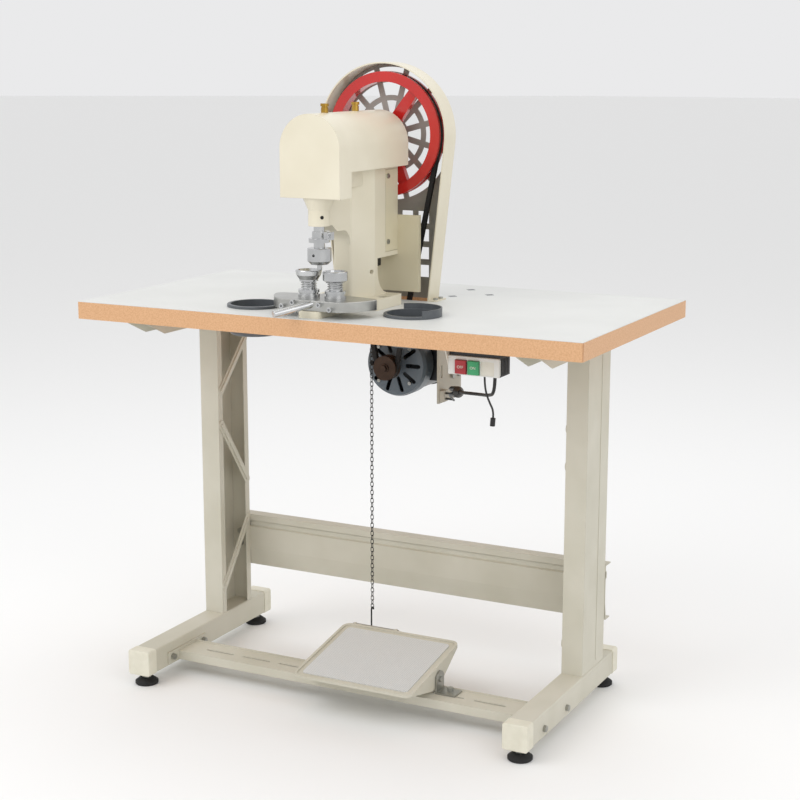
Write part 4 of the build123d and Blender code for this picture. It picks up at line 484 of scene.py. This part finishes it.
class PRESS_OT_screws(bpy.types.Operator):
    """Slotted screws round the motor bell, and one in the boss round the ram"""
    bl_idname = "press.screws"
    bl_label = "Small screws"

    def execute(self, context):
        settings = context.scene.press_settings
        to_front = (pi / 2, 0, 0)
        low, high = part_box("motor_bell")
        middle_z = (low.z + high.z) / 2
        count = settings.bell_screws
        angles = [pi / 4 + turn * 2 * pi / count for turn in range(count)]
        heads = [screw_head((MACHINE_X + BELL_SCREW_CIRCLE * cos(angle), low.y - BELL_SCREW_OUT,
                             middle_z + BELL_SCREW_CIRCLE * sin(angle)),
                            BELL_SCREW_RADIUS, BELL_SCREW_HEIGHT, to_front)
                 for angle in angles]
        settle(joined(heads), "bell_screws", STAND, "zinc")
        outward = Vector((sin(pi / 4), -cos(pi / 4), 0)) * BOSS_RADIUS
        head = screw_head((MACHINE_X + outward.x, RAM_Y + outward.y, BOSS_SCREW_Z),
                          BOSS_SCREW_RADIUS, BOSS_SCREW_HEIGHT, (pi / 2, 0, pi / 4))
        settle(head, "boss_screw", STAND, "dark_steel")
        return {"FINISHED"}


class PRESS_OT_hub(bpy.types.Operator):
    """The nut and washer that hold the flywheel on its shaft, seen through the grille"""
    bl_idname = "press.hub"
    bl_label = "Flywheel nut"

    def execute(self, context):
        low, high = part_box("flywheel")
        middle = (low + high) / 2
        pieces = []
        for sides, radius, depth, out, edge in (
                (48, WASHER_RADIUS, WASHER_THICKNESS, WASHER_OUT, WASHER_EDGE),
                (6, NUT_CORNER_RADIUS, NUT_HEIGHT, NUT_OUT, NUT_EDGE)):
            deselect()
            bpy.ops.mesh.primitive_cylinder_add(vertices=sides, radius=radius, depth=depth,
                                                rotation=(pi / 2, 0, 0),
                                                location=(middle.x, high.y + out, middle.z))
            pieces.append(bpy.context.active_object)
            soften(pieces[-1], edge)
        settle(joined(pieces), "flywheel_nut", "flywheel", "zinc")
        return {"FINISHED"}


class PRESS_OT_studio(bpy.types.Operator):
    """A plain pale floor and sky, and soft lamps at the front left, at the right and above the back"""
    bl_idname = "press.studio"
    bl_label = "Studio"

    def execute(self, context):
        settings = context.scene.press_settings
        deselect()
        bpy.ops.mesh.primitive_plane_add(size=FLOOR_SIDE, location=(0, 0, 0))
        floor = bpy.context.active_object
        floor.name = "studio_floor"
        shader = new_material("studio_floor")[1]
        shader.inputs["Base Color"].default_value = linear("#F5F5F4")
        shader.inputs["Roughness"].default_value = 0.75
        floor.data.materials.append(bpy.data.materials["studio_floor"])
        world = bpy.data.worlds.new("studio")
        context.scene.world = world
        world.use_nodes = True
        sky = world.node_tree.nodes["Background"]
        sky.inputs["Color"].default_value = linear("#FAFAFB")
        sky.inputs["Strength"].default_value = settings.sky
        for name, spot, side, power in LAMPS:
            data = bpy.data.lights.new(name, "AREA")
            data.size = side
            data.energy = getattr(settings, power)
            light = bpy.data.objects.new(name, data)
            context.scene.collection.objects.link(light)
            light.location = spot
            light.rotation_euler = (Vector(LAMP_AIM) - Vector(spot)).to_track_quat("-Z", "Y").to_euler()
        return {"FINISHED"}


class PRESS_PT_panel(bpy.types.Panel):
    """The steps in their order"""
    bl_idname = "PRESS_PT_panel"
    bl_label = "Button press"
    bl_space_type = "VIEW_3D"
    bl_region_type = "UI"
    bl_category = "Button press"

    def draw(self, context):
        settings = context.scene.press_settings
        for name in settings.bl_rna.properties.keys():
            if name not in ("rna_type", "name"):
                self.layout.prop(settings, name)
        for step in STEPS:
            self.layout.operator(step.bl_idname)


STEPS = (PRESS_OT_camera, PRESS_OT_finishes, PRESS_OT_cords, PRESS_OT_words, PRESS_OT_screws, PRESS_OT_hub,
         PRESS_OT_studio)
CLASSES = (PressSettings, *STEPS, PRESS_PT_panel)


def register():
    for kind in CLASSES:
        bpy.utils.register_class(kind)
    bpy.types.Scene.press_settings = PointerProperty(type=PressSettings)


def unregister():
    del bpy.types.Scene.press_settings
    for kind in reversed(CLASSES):
        bpy.utils.unregister_class(kind)


def main():
    """Runs the steps in their order."""
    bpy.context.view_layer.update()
    register()
    bpy.ops.press.camera()
    bpy.ops.press.finishes()
    bpy.ops.press.cords()
    bpy.ops.press.words()
    bpy.ops.press.screws()
    bpy.ops.press.hub()
    bpy.ops.press.studio()


if __name__ == "__main__":
    main()
